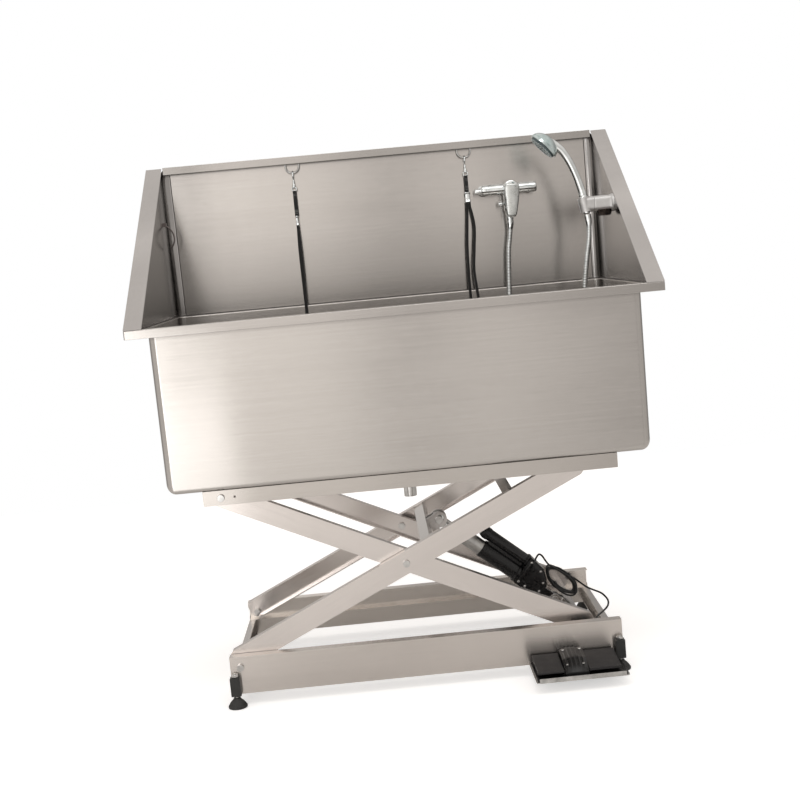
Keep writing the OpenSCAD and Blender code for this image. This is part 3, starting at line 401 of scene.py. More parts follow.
strap_u, strap_v = np.array([(-1, -0.5), (-0.9, -1), (0.9, -1), (1, -0.5), (1, 0.5), (0.9, 1), (-0.9, 1), (-1, 0.5)]).T
for side, x, loop, length, strap_low, slider_low, wide, deep, body in (
        ("left", ring_x[0], left_loop, 0.882, 250, 223, 9, 16, "leash_l"),
        ("right", ring_x[1], right_loop, 0.929, 273, 245, 16, 9, "leash_r")):

    def on_leash(h, sideways=0.0, back=0.0, rise=0.0):
        """Place h above the rim on this leash, moved sideways, back from its slope and up along it."""
        sideways, back, rise = np.broadcast_arrays(sideways, back, rise)
        return (np.array([x, hang_y(h), rim_z + h]) + sideways[..., None] * np.array([1.0, 0, 0])
                + back[..., None] * front + rise[..., None] * tilted)

    # The rope follows the same loop as its solid, and both ends go up into the slider.
    a, b, h = np.array(loop, float).T
    line = smooth(np.stack([x + a, hang_y(h) + b, rim_z + h], axis=1), 3)
    rope = wire(f"leash_rope_{side}", line, rope_d, rope_nylon, body, [f"leash_strap_{side}"])
    # The strap is two layers with a rounded fold, and its faces swell a little between the stitches.
    rise = np.linspace(0, strap_top - strap_low, 24)[:, None]
    thick = np.where(rise > 4, 2.0 * (1 + 0.12 * np.sin(rise * 1.9)), 1.6)
    strap = on_leash(strap_low, strap_u * strap_half, strap_v * thick, rise)
    belt = shape(f"leash_webbing_{side}", stacked(strap), webbing, body)
    # Rows of pale stitching hold the fold: bars 2.2 mm long across the strap, in the satin chrome's grey.
    bars = [swept(on_leash(strap_low, u + np.array([-1.1, 0, 1.1]), np.array([-2.25, -2.6, -2.25]), rise), 0.32, 6,
                  (0, 0, 1))
            for rise in (8, 12, 16, strap_top - strap_low - 14, strap_top - strap_low - 10) for u in (-3, 0, 3)]
    shape(f"leash_stitches_{side}", joined(*bars), satin_chrome, body)

    # Slider: a pressed chrome sleeve with rolled ends and a waist, round both strands. Its section is
    # |cos a|^0.6, |sin a|^0.6 of the half sizes.
    height = strap_low - slider_low
    a = np.linspace(0, 2 * np.pi, 33)[:-1]
    cos_a, sin_a = np.abs(np.cos(a)) ** 0.6 * np.sign(np.cos(a)), np.abs(np.sin(a)) ** 0.6 * np.sign(np.sin(a))
    rows = [on_leash(slider_low, (wide / 2 + out) * cos_a, (deep / 2 + out) * sin_a, rise)
            for rise, out in ((0, -0.7), (0.6, 0), (2.6, 0), (3.4, -0.6), (height / 2, -1.0), (height - 3.4, -0.6),
                              (height - 2.6, 0), (height - 0.6, 0), (height, -0.7))]
    shape(f"leash_slider_sleeve_{side}", stacked(rows), chrome, body, [f"leash_slider_{side}"])

    # Swivel hook: eye on the tie ring with its spring gate, ball swivel, and the bar that carries the strap.
    eye_z = ring_low + ring_wire_r + 0.3 - 8.5
    eye, gate = [np.stack([0 * a + x, ring_y + f * hook_r * np.sin(a), eye_z + hook_r * np.cos(a)], axis=1)
                 for f, a in ((1, np.linspace(0.35, 2 * np.pi + 0.35, 49)), (-1, np.linspace(0.5, 1.9, 9)))]
    stem = np.array([0, 1, 2.2, 7, 9, 10, 14, 18, ring_low - rim_z - 18 - 330])
    u, rise = np.array([(-6, 8), (-6.4, 4), (-6, 0.6), (-3, -0.6), (3, -0.6), (6, 0.6), (6.4, 4), (6, 8), (3, 9),
                        (-3, 9), (-6, 8)]).T
    shape(f"leash_snap_hook_{side}", joined(
        swept(eye, 2.0, 14), swept(gate, 2.35, 12),
        swept(on_leash(328, 0, 0, stem), (3.0, 4.6, 4.9, 4.9, 4.2, 2.6, 2.6, 3.4, 2.4), 20),
        swept(on_leash(strap_top, u, 0, rise), 1.7, 12, (0, 1, 0))), chrome, body, [f"leash_hook_{side}"])


# ---------------------------------------------------------------- levelling feet
# Rubber pad with a moulded, ridged dome, zinc-plated M10 stud and a lock nut under the black sleeve that is pushed
# into each corner of the base. Each foot screws on its own body.

def turned(profile, at, axis, sides=40, lobes=0, deep=0.8, ends="capped"):
    """Piece turned round an axis. Each row is (distance, radius), or has a third value: 1 for flutes, where the
    radius is r - deep (1 - cos(lobes a)) / 2, or a size across flats, where it is min(r, flats / 2 / cos(a mod 60
    - 30)). A looped profile is closed on itself, so its bore stays open."""
    at, axis = np.asarray(at, float), np.asarray(axis, float) / np.linalg.norm(axis)
    side = np.cross(axis, (0, 0, 1) if abs(axis[2]) < 0.9 else (1, 0, 0))
    side /= np.linalg.norm(side)
    a = np.arange(sides) * 2 * np.pi / sides
    around = np.cos(a)[:, None] * side + np.sin(a)[:, None] * np.cross(axis, side)
    rows = []
    for distance, radius, *form in profile:
        r = np.full(sides, float(radius))
        if form == [1]:
            r -= deep * (0.5 - 0.5 * np.cos(lobes * a))
        elif form:
            r = np.minimum(r, form[0] / 2 / np.cos(a % (np.pi / 3) - np.pi / 6))
        rows.append(at + distance * axis + r[:, None] * around)
    return stacked(rows, ends)


def edged(names, finish, width_mm, segments=2):
    """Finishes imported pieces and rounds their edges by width_mm, so that each bend and deburred cut catches a thin
    line of light. Welding and dissolving first leaves only the real edges."""
    for name in names:
        made = nodes[name]
        made.data.materials.clear()
        made.data.materials.append(finish)
        made.modifiers.new("weld", "WELD").merge_threshold = 0.00001
        flat = made.modifiers.new("flat", "DECIMATE")
        flat.decimate_type = "DISSOLVE"
        flat.angle_limit = math.radians(0.3)
        bevel = made.modifiers.new("edge", "BEVEL")
        bevel.width = width_mm / 1000
        bevel.segments = segments
        bevel.limit_method = "ANGLE"
        bevel.angle_limit = math.radians(32)
        made.modifiers.new("flats", "WEIGHTED_NORMAL").keep_sharp = True


# Zinc plate on steel: a pale grey, half mirror, blotched where it has dulled.
zinc = plated("steel_zinc_plated", "#a9a8a6", "#dedddb", 0.18)

foot_x, foot_y, thread_from, thread_step = 485.5, 302, 24, 0.625
pad = [(0, 0.5), (0, 22), (0.7, 23.5), (2, 24), (5.5, 24), (6.6, 23.4), (7.2, 22.2), (8, 21.9, 1),
       (11, 20.6, 1), (14, 18.6, 1), (17, 16, 1), (20, 12.8, 1), (22.5, 10.2), (25, 9.2), (26, 8.2),
       (26, 0.5)]
thread = ([(thread_from, 0.5)] + [(thread_from + thread_step * k, 5.0 if k % 2 else 4.35) for k in range(102)]
          + [(88, 4.0), (88, 0.5)])
nut = [(78.3, 0.5), (78.3, 8.2, 17), (79.2, 9.3, 17), (80, 9.81, 17), (84.6, 9.81, 17), (85.4, 9.3, 17),
       (86.3, 8.2, 17), (86.3, 0.5)]
for body, name, x, y in (("foot_fl", "front_left", -foot_x, -foot_y), ("foot_fr", "front_right", foot_x, -foot_y),
                         ("foot_rl", "rear_left", -foot_x, foot_y), ("foot_rr", "rear_right", foot_x, foot_y)):
    shape(f"foot_pad_{name}", turned(pad, (x, y, 0), (0, 0, 1), 72, 24, 1.1), foot_plastic, body,
          [f"foot_{name}"], 30)
    shape(f"foot_stud_{name}", joined(turned(thread, (x, y, 0), (0, 0, 1), 18), turned(nut, (x, y, 0), (0, 0, 1), 36)),
          zinc, body, (), 30)
edged(["foot_sleeves"], foot_plastic, 1.5, 3)


# ---------------------------------------------------------------- base frame
# Two rails of folded stainless steel with welded cross-members. The lower track carries the nylon rollers of the
# inner arms on stepped axles, and bolts at the left end carry the outer arms.

def brushed(name, dark, light, turn=(0, 0, 0), spread="X", film_and_painted_reflection=()):
    """Ground stainless: hair lines 60 by 0.5 mm, rolling bands 700 by 6 mm and wipe marks 350 by 160 mm, along X
    after the turn, with drip marks 26 mm wide. The grind spreads a highlight round the spread axis. The lines are
    drawn coarser than a real grind, so that they show. The last argument is painted reflection and shade: a tone
    by place that stands for the dark room that a real sheet mirrors, (axis, ((metres, share of light), ...)). It is
    no dirt on the steel, and it stays under any light."""
    made, tree = blank(name)
    rough = 0.2
    place = node(tree, "TexCoord", {}, "Object")
    hair, band, wipe = [
        node(tree, "TexNoise", {"Vector": node(tree, "Mapping", {"Vector": place, "Rotation": turn,
                                                                 "Scale": (long, wide, wide)}, vector_type="TEXTURE"),
                                "Scale": 1.0, "Detail": detail, "Roughness": fine})
        for long, wide, detail, fine in ((0.06, 0.0005, 2.0, 0.6), (0.7, 0.006, 3.0, 0.55), (0.35, 0.16, 1.0, 0.4))]
    drips = node(tree, "TexNoise", {"Vector": place, "Scale": 38.0, "Detail": 3.0, "Roughness": 0.5})
    bands = node(tree, "MapRange", {"Value": band, **noise_span, "To Min": 0.4, "To Max": 0.6})
    stains = node(tree, "MapRange", {"Value": drips, **noise_span, "To Min": -0.05, "To Max": 0.05})
    grain = node(tree, "Math", {0: hair, 1: bands}, operation="ADD")
    marks = node(tree, "Math", {0: wipe, 1: stains}, operation="ADD")
    tone, gloss = [
        node(tree, "Math", {0: node(tree, "MapRange", {"Value": grain, "From Min": 0.7, "From Max": 1.3,
                                                       "To Min": grain_low, "To Max": grain_high}),
                            1: node(tree, "MapRange", {"Value": marks, **noise_span,
                                                       "To Min": marks_low, "To Max": marks_high})}, operation="ADD")
        for grain_low, grain_high, marks_low, marks_high in (
            (0.0, 0.6, 0.0, 0.4), (-0.02, 0.02, rough - 0.02, rough + 0.02))]
    bump = node(tree, "Bump", {"Height": hair, "Strength": 0.04, "Distance": 0.0003})
    tangent = node(tree, "Tangent", {}, direction_type="RADIAL", axis=spread)
    colour = node(tree, "Mix", {0: tone, 6: linear(dark), 7: linear(light)}, 2, data_type="RGBA")
    # Painted reflection and shade: each ramp by place darkens or lightens the steel's colour.
    for axis, points in film_and_painted_reflection:
        at = node(tree, "SeparateXYZ", {"Vector": place}, axis[-1])
        if axis[0] == "|":
            at = node(tree, "Math", {0: at}, operation="ABSOLUTE")
        first, last = points[0][0], points[-1][0]
        share = node(tree, "ValToRGB", {"Fac": node(tree, "MapRange", {"Value": at, "From Min": first,
                                                                      "From Max": last})})
        steps = share.node.color_ramp.elements
        for metres, level in points[1:-1]:
            steps.new((metres - first) / (last - first)).color = (level, level, level, 1)
        steps[0].color, steps[-1].color = [(points[k][1],) * 3 + (1,) for k in (0, -1)]
        colour = node(tree, "Mix", {0: 1.0, 6: colour, 7: share}, 2, data_type="RGBA", blend_type="MULTIPLY")
    shaded(tree, {"Base Color": colour, "Metallic": 1.0, "Roughness": gloss, "Normal": bump, "Anisotropic": 0.8,
                  "Tangent": tangent})
    return made


# Stainless section, ground along its length: a warm pale grey, streaked, with soft reflections drawn out upright.
base_steel = brushed("steel_section_base", "#c9c3be", "#dbd5d0")
# The rear rail's copy is painted lighter: a lit copy of the same steel.
rear_steel = brushed("steel_section_rear", "#dbd5cf", "#ece6e0")
# The same steel in the pieces that run from front to back, so its streaks do too.
end_steel = brushed("steel_sheet_brushed_across", "#b4b0ad", "#c4c1be", turn=(0, 0, math.pi / 2), spread="Y")
# Nylon, turned: a dark grey with a dull shine.
nylon = moulded("nylon_turned_roller", "#2a2a2b", "#414142", 0.38, 1.2, 0.1)

edged(["base_rail_front"], base_steel, 1.0, 3)
edged(["base_rail_rear"], rear_steel, 1.0, 3)
edged(["base_cross_members"], end_steel, 0.8)
edged(["base_pivot_bolts", "base_roller_axles"], zinc, 0.8)
edged(["base_rollers"], nylon, 0.8)


# ---------------------------------------------------------------- foot switch
# A zinc-plated tray hooks under the front rail and carries a black moulded base with two dark grey pedals. The
# crowned cover of the middle hump is held by four pan-head screws.

# ABS, glossy and matt: the base shows lamps as blurred spots, the pedals only a dull sheen.
base_plastic = moulded("plastic_black_pedal_base", "#070708", "#111112", 0.3, 0.6)
pedal_plastic = moulded("plastic_dark_grey_pedal", "#141315", "#222123", 0.5, 0.5)


def screw(at, axis, r):
    """Pan head with a cross recess: a dome of height 0.6 r, and four lobes sunk to 0.25 r."""
    head = [(-0.3, 0.3), (-0.3, r), (0.25 * r, r), (0.45 * r, 0.86 * r), (0.58 * r, 0.6 * r), (0.6 * r, 0.5 * r, 1),
            (0.28 * r, 0.42 * r, 1), (0.25 * r, 0.2)]
    return turned(head, at, axis, 32, 4, 0.28 * r)


edged(["pedal_tray"], zinc, 0.5)
edged(["pedal_base"], base_plastic, 1.2, 3)
edged(["pedal_left", "pedal_right"], pedal_plastic, 2.4, 4)

# The cover's height is that of the hump beneath plus 0.6 + 5 (1 - u u), where u = -1..1 runs across, and five grip
# ribs 1.3 mm high run front to back.
hump_x, hump_half, hump_front, hump_rear = 357, 28.9, -428, -293
u = np.linspace(-1, 1, 91)
ribs = 1.3 * np.clip(np.cos(5.6 * np.pi * u), 0, 1) * (np.abs(u) < 0.9)
rows = []
for y, fade in [(-427.4, 0.1)] + [(y, 1) for y in np.linspace(-425, -297, 33)] + [(-294, 0.5), (-293.4, 0.1)]:
    top = np.interp(y, [hump_front, -383, -323, hump_rear], [44, 64, 70, 62]) + 0.6
    ramp_in = min(1, (y - hump_front) / 14, (hump_rear - y) / 6) * fade
    over = top + (5 * (1 - u ** 2) + ribs) * ramp_in
    under = np.array([[hump_x + 29, y, top - 6], [hump_x - 29, y, top - 6]])
    rows.append(np.vstack([np.stack([hump_x + hump_half * u, np.full(91, y), over], axis=1), under]))
shape("foot_switch_cover", stacked(rows), base_plastic, "base", (), 40)
shape("foot_switch_screws", joined(*[screw((x, y, z), (0, -lean, 1), r) for x, y, z, lean, r in (
    (378, -333, 73.4, 0.2, 4.2), (336, -333, 73.4, 0.2, 4.2), (337, -404, 57.4, 0.35, 3.0),
    (377, -404, 57.4, 0.35, 3.0))]), zinc, "base", (), 30)


# ---------------------------------------------------------------- scissor arms
# Four channels of stainless steel, 55 x 25 mm, ground along their length, with welded cross tubes. Bolts join each
# outer arm to its inner one where they cross.
arm_tilt = math.radians(26.3)
# The same steel as the base's, its streaks turned with the arms, painted lighter as a lit copy of it.
rising_steel = brushed("steel_section_rising", "#d2ccc8", "#e5dfdb", turn=(0, -arm_tilt, 0))
falling_steel = brushed("steel_section_falling", "#d2ccc8", "#e5dfdb", turn=(0, arm_tilt, 0))
edged(["outer_arm_front", "outer_arm_rear"], rising_steel, 1.2, 3)
edged(["inner_arm_front", "inner_arm_rear"], falling_steel, 1.2, 3)
edged(["outer_cross_tubes", "inner_cross_tube"], end_steel, 0.8)
edged(["centre_bolts"], zinc, 0.8)


# ---------------------------------------------------------------- linear actuator
# Gearbox in two black cast halves, motor beside a black cover tube, and a pale tube from which a chromed rod slides.
# It hangs on a pin at each end. Screwed covers, collars and a rubber wiper are separate pieces.

# Paint on aluminium castings: a glossy black that keeps a small grain.
black_paint = moulded("paint_black_actuator", "#08080a", "#131315", 0.26, 0.9, 0.15)
# Aluminium, anodised: a flat pale grey with a wide soft highlight.
aluminium = plated("aluminium_anodised_tube", "#b1b0ae", "#d6d5d2", 0.30)
edged(["actuator_gearbox"], black_paint, 2.2, 3)
edged(["actuator_motor"], black_paint, 1.0)
edged(["actuator_tube"], aluminium, 0.6)
edged(["actuator_rod"], chrome, 0.6)
edged(["lower_pin", "rod_pin"], zinc, 0.8)

foot_at, ram_axis, ram_up = np.array([363.29, 0, 119.81]), np.array([-0.7601, 0, 0.6498]), np.array([0.6498, 0, 0.7601])


def on_ram(s, u, y=0.0):
    """Place s from the foot pin toward the rod, u across toward the motor, and y to the rear."""
    s, u, y = np.broadcast_arrays(s, u, y)
    return foot_at + s[..., None] * ram_axis + u[..., None] * ram_up + y[..., None] * np.array([0, 1.0, 0])


# Parting band round the two halves of the gearbox, left open where the rod's tube leaves it, and a cover plate on
# each face. A corner is rounded over 6 mm: b + (a - b)(1 - w)^2 + (c - b) w^2, with both arms cut to 6 mm.
outline = np.array([(44, -10), (92, -22.6), (121, -22.6), (121, 57.4), (77, 50.6), (55.5, 33), (44, 17)])
w = np.linspace(0, 1, 6)[:, None]
corners = []
for a, b, c in zip(np.roll(outline, 1, axis=0), outline, np.roll(outline, -1, axis=0)):
    one, two = b + (a - b) / np.linalg.norm(a - b) * 6, b + (c - b) / np.linalg.norm(c - b) * 6
    corners.append(one * (1 - w) ** 2 + b * 2 * w * (1 - w) + two * w * w)
corners = np.vstack(corners)
middle = corners.mean(axis=0)
face_y = 26.5
covers = [stacked([on_ram(*((corners - middle) * size + middle).T, f * (face_y - sunk)) for sunk, size in (
    (2.0, 0.9), (1.1, 0.9), (0.3, 0.885), (0, 0.86), (0, 0.62), (0.5, 0.6), (0.5, 0.3))]) for f in (-1, 1)]
open_from, open_to = 18, 21
band = on_ram(*np.vstack([corners[open_to:], corners[:open_from]]).T)
shape("gearbox_covers", joined(*covers, swept(band, 1.1, 8, (0, 1, 0))), black_paint, "actuator", (), 30)
spots = [(52, -4), (92, -15), (114, -14), (114, 48), (80, 42), (56, 20)]
screws = [screw(on_ram(s, u, f * (face_y - 0.1)), (0, f, 0), 3.3) for s, u in spots for f in (-1, 1)]
shape("gearbox_screws", joined(*screws), zinc, "actuator", (), 30)
# Motor: end cap with a groove and a cooling rib; cover tube: clamp collar and end collar; rod: wiper seal.
motor_at, rod_from = on_ram(122, 42), on_ram(0, 0)
shape("motor_rings", joined(
    turned([(0.2, 15), (0.2, 18.5), (1.2, 19.2), (6, 19.2), (7, 18.4), (8, 16.4), (8, 15)],
           motor_at, ram_axis, 48),
    turned([(128, 15), (128, 16.7), (129, 17.4), (140, 17.4), (141, 16.6), (143, 16.6),
            (143.6, 16), (148, 14.6), (150.4, 13), (150.4, 4)], motor_at, ram_axis, 48)), black_paint,
      "actuator", (), 30)
web = [np.array([on_ram(s, u, y) for s, u in ((121, 16), (238, 16), (240, 20), (240, 30), (238, 34), (121, 34))])
       for y in (-9, 9)]
shape("motor_saddle", stacked(web), black_paint, "actuator", (), 30)
shape("cover_tube_collars", joined(
    turned([(122.4, 22.6), (122.4, 25.4), (123.4, 26.2), (130, 26.2), (131.2, 25), (131.2, 22.6)],
           rod_from, ram_axis, 56, ends="looped"),
    turned([(236, 22.6), (236, 23.6), (236.8, 24.4), (245, 24.4), (246, 23.6), (246.4, 21.2)],
           rod_from, ram_axis, 56, ends="looped")), black_paint, "actuator", (), 30)
shape("rod_wiper", turned([(324.4, 13.2), (324.4, 20), (325.4, 20.6), (327, 20), (328.5, 16), (329, 13.2)],
                          rod_from, ram_axis, 48, ends="looped"), foot_plastic, "actuator", (), 30)


# ---------------------------------------------------------------- top frame
# Two rails and welded cross-members under the tub. The upper rollers of the outer arms run in the rails, and bolts
# at the left end carry the inner arms.

# The base's steel a shade darker, since the tub keeps the light off it.
rail_steel = brushed("steel_section_level", "#b9b4af", "#cbc6c1")
edged(["top_rail_front", "top_rail_rear"], rail_steel, 1.0, 3)
edged(["top_cross_members"], end_steel, 0.8)
edged(["top_pivot_bolts", "top_roller_axles"], zinc, 0.8)
edged(["top_rollers"], nylon, 0.8)


# ---------------------------------------------------------------- tub
# Basin pressed from 1.5 mm stainless sheet and ground: corners of 19 mm, a bottom bend of 25 mm at the ends and 10
# at the front and back, a shelf round it and a 22 mm lip folded down. The drain screws into its floor.

# Stainless sheet, ground along X: a warm grey, streaked, bright where it faces the lamps. Painted shade and reflection
# darken the lip and the shelf at the back.
sheet_steel = brushed("steel_sheet_brushed_level", "#bab6b2", "#cac6c2", film_and_painted_reflection=[
    ("Z", ((0.930, 1.0), (0.938, 0.88), (0.960, 0.88), (0.970, 0.88))),
    ("Y", ((0.30, 1.0), (0.348, 1.0), (0.3495, 0.64), (0.3845, 0.64), (0.3855, 1.0), (0.40, 1.0)))])


def rounded(half_x, half_y, r, n=8):
    """Corner-rounded rectangle, counter-clockwise: centre of each corner plus r (cos a, sin a)."""
    a = np.linspace(0, np.pi / 2, n + 1) + np.arange(4)[:, None] * np.pi / 2
    i, j = np.array([[1], [-1], [-1], [1]]), np.array([[1], [1], [-1], [-1]])
    return np.stack([i * (half_x - r) + r * np.cos(a), j * (half_y - r) + r * np.sin(a)], axis=-1).reshape(-1, 2)


def tower(stations, axis="z", at=(0, 0, 0), ends="capped"):
    """Skin over rounded rectangles (half x, half y, corner radius, height) stacked along the z or x axis."""
    rows = []
    for half_x, half_y, r, height in stations:
        across, over = rounded(half_x, half_y, r).T
        high = 0 * across + height
        rows.append(np.stack((across, over, high) if axis == "z" else (high, across, over), axis=1) + at)
    return stacked(rows, ends)


def part_finished(made, finish, measure, test):
    """Gives a second finish to the faces whose measure, normal or center, passes the test."""
    made.data.materials.append(finish)
    values = np.empty(len(made.data.polygons) * 3)
    made.data.polygons.foreach_get(measure, values)
    made.data.polygons.foreach_set("material_index", test(values.reshape(-1, 3)).astype(np.int32))


tub_z, sheet, drain_r = 551.26, 1.5, 26
wall_x, wall_y, corner_r, bend_r, front_bend_r = 600, 295, 19, 25, 10
rim_x, rim_y, lip_h, lip_bend_r, mouth_r, least_r = 650, 335, 22, 2.5, 3.5, 0.6
# Outside, from the drain over the bottom bend and up the wall.
stations = [(drain_r, drain_r, drain_r, tub_z)]
for a in np.linspace(0, np.pi / 2, 13):
    rise = bend_r - bend_r * math.cos(a)
    under = max(front_bend_r - rise, 0)
    stations.append((wall_x - bend_r + bend_r * math.sin(a), wall_y - front_bend_r
                     + math.sqrt(front_bend_r ** 2 - under ** 2), max(corner_r * math.sin(a), least_r), tub_z + rise))
# Out under the shelf, down the inside of the lip and round its edge.
stations += [(wall_x + out, wall_y + out, r, rim_z - sunk) for out, r, sunk in (
    (0, corner_r, 4), (0.6, corner_r + 0.6, 2.3), (2.4, corner_r + 2, sheet))]
stations += [(rim_x - inset, rim_y - inset, r, rim_z - sunk) for inset, r, sunk in (
    (4, 4, sheet), (1.9, 2.4, 2.3), (1.5, 2, 4), (1.5, 2, lip_h - 0.6), (0.8, 2.6, lip_h), (0, 3.4, lip_h - 0.7),
    (0, 3.4, lip_bend_r))]
# Over the lip's bend, in over the mouth's, and down the inside to the drain.
for a in np.linspace(0, np.pi / 2, 5)[1:]:
    inset = lip_bend_r - lip_bend_r * math.cos(a)
    stations.append((rim_x - inset, rim_y - inset, 3.4 - inset, rim_z - lip_bend_r + lip_bend_r * math.sin(a)))
for a in np.linspace(0, np.pi / 2, 5):
    out = 2 - mouth_r * math.sin(a)
    stations.append((wall_x + out, wall_y + out, corner_r + out, rim_z - mouth_r + mouth_r * math.cos(a)))
inside_r = bend_r - sheet
for a in np.linspace(np.pi / 2, 0, 9):
    stations.append((wall_x - bend_r + inside_r * math.sin(a), wall_y - bend_r + inside_r * math.sin(a),
                     max((corner_r - sheet) * math.sin(a), least_r), tub_z + sheet + inside_r - inside_r * math.cos(a)))
stations.append((drain_r, drain_r, drain_r, tub_z + sheet))
basin = shape("tub_shell", tower(stations, ends="looped"), sheet_steel, "top", ["tub_basin"], sharp=50)
basin.modifiers.new("flats", "WEIGHTED_NORMAL").keep_sharp = True
part_finished(basin, end_steel, "normal", lambda normals: np.abs(normals[:, 0]) > 0.75)
edged(["drain_body", "drain_strainer"], zinc, 0.4)


# ---------------------------------------------------------------- splash guards
# A back guard with a folded top rail and two sloping side guards, of the same sheet, stand on the shelf with dark
# sealant round their feet and in their corners. Two zinc-plated tie rings and a dark wire hook are screwed to them.

# The sheet again, with painted shade and reflection at the foot, the top and the ends of the back, and at the
# corners of the sides.
back_steel = brushed("steel_sheet_brushed_back", "#bab6b2", "#cac6c2", film_and_painted_reflection=[
    ("Z", ((0.962, 0.71), (0.99, 0.77), (1.10, 0.84), (1.18, 0.95), (1.26, 1.02), (1.352, 1.0), (1.356, 0.82),
           (1.38, 0.82))),
    ("X", ((-0.60, 0.7), (-0.53, 0.77), (-0.46, 0.95), (-0.40, 1.0), (0.27, 1.0), (0.35, 0.92), (0.47, 1.0),
           (0.60, 1.0)))])
slope = math.radians(31.7)
slope_turn = (slope, 0, math.pi / 2)
# Painted shade near the corners of the sides, and painted light and shade in bands by height.
slope_steel = brushed("steel_sheet_brushed_slope", "#bdbab8", "#cecbc9", turn=slope_turn, spread="Y", film_and_painted_reflection=[
    ("|X", ((0.580, 0.77), (0.602, 0.77), (0.605, 0.7), (0.6058, 0.7), (0.6074, 1.0), (0.66, 1.0))),
    ("Z", ((0.96, 0.98), (1.10, 0.94), (1.18, 1.09), (1.24, 0.97), (1.38, 0.92)))])
# Chrome, smoked: a dark brown-grey mirror.
dark_chrome = plated("chrome_smoked", "#57504f", "#827a78", 0.12)
# Sealant: a matt brown-black bead that draws a line along each joint.
sealant = moulded("sealant_dark_joint", "#2c2827", "#46403e", 0.5, 1.5)

edged(["back_guard"], back_steel, 0.5)
part_finished(nodes["back_guard"], sheet_steel, "normal", lambda normals: normals[:, 1] > 0.5)
edged(["left_guard", "right_guard"], slope_steel, 0.5)
edged(["tie_rings"], zinc, 0.4)
part_finished(nodes["tie_rings"], dark_chrome, "center", lambda centres: centres[:, 0] < -0.5)

guard_x, bead_z, bend_x, bend_y, bend_r = 605.5, rim_z + 0.5, 585, 311.5, 20.5
a = np.linspace(0, np.pi / 2, 9)
bend = np.stack([bend_x + bend_r * np.cos(a), bend_y + bend_r * np.sin(a), 0 * a + bead_z], axis=1)
side_y = np.array([-318, -100, 100, 280])
straight = np.stack([0 * side_y + guard_x, side_y, 0 * side_y + bead_z], axis=1)
half_bead = np.vstack([straight, bend])
bead = np.vstack([half_bead, [(0, bend_y + bend_r, bead_z)], (half_bead * (-1, 1, 1))[::-1]])
uprights = [[(f * bend_x, 331.9, rim_z + h) for h in (1, 200, 395)] for f in (-1, 1)]
shape("joint_sealant", joined(swept(bead, 1.5, 10, (0, 0, 1)), *[swept(line, 1.1, 10) for line in uprights]),
      sealant, "top", (), 60)


# ---------------------------------------------------------------- mixer
# Wall mixer of polished chromed brass: two unions with hexagon nuts come through the back guard and carry one
# casting, in which the cartridge under its cap, the lever and the diverter's knob turn.
mx, my, mz = 362, 285, rim_z + 272  # the middle of the bar
union_y = 297.5
# Unions: domed flange, neck, and hexagon nut with turned chamfers.
union = [(0, 0.5), (0, 10.5), (1.2, 13.2, 24), (2.4, 13.86, 24), (20, 13.86, 24), (21.4, 12.4, 24),
         (22.4, 11.4), (27, 11.4), (28.6, 12.4), (29.6, 15.2), (31.2, 16), (34.3, 16), (34.5, 0.5)]
shape("mixer_unions", joined(*[turned(union, (x, union_y, mz), (0, 1, 0), 48) for x in (mx - 74, mx + 50)]), chrome,
      "top", ["wall_unions"], 30)

# Casting: the bar has a groove and a domed end at each side, the boss carries the cartridge, and the outlet has a
# collar above the hose thread.
bar = [(0, 0.5), (0, 9.5), (1, 12.4), (3, 14), (6, 14.5), (20, 14.5), (20.5, 13.7), (22, 13.7),
       (22.5, 14.5), (132, 14.5), (132.5, 13.7), (134, 13.7), (134.5, 14.5), (150, 14.5),
       (153, 14), (155, 12.4), (156, 9.5), (156, 0.5)]
stub = [(0, 0.5), (0, 5.5), (0.8, 7.2), (2.6, 8), (14, 8), (15, 8.8), (19, 9.2), (19, 0.5)]
boss = [(0, 0.5), (0, 19.5), (0.7, 21.2), (2.4, 22), (27, 22), (33, 18), (33, 0.5)]
outlet = [(0, 0.5), (0, 9.2), (0.8, 10), (16, 10), (17, 10.8), (18, 13.3), (20, 13.8),
          (25, 13.8), (26, 13), (50, 13), (64, 14), (78, 14), (78, 0.5)]
shape("mixer_casting", joined(turned(bar, (mx - 82, my, mz), (1, 0, 0)),
                              turned(stub, (mx - 100, my, mz - 2), (1, 0, 0), 28),
                              turned(boss, (mx, my - 25, mz), (0, 1, 0), 48),
                              turned(outlet, (mx - 7, my, mz - 78), (0, 0, 1))), chrome, "top",
      ["mixer_body"], 30)
cap = [(0, 0.5), (0, 20.4), (0.7, 21), (5, 21), (7.4, 20.2), (8.6, 18), (8.7, 0.5)]
shape("mixer_cartridge_cap", turned(cap, (mx, my - 25.3, mz), (0, -1, 0), 48), chrome, "cartridge",
      ["mixer_cap"], 30)

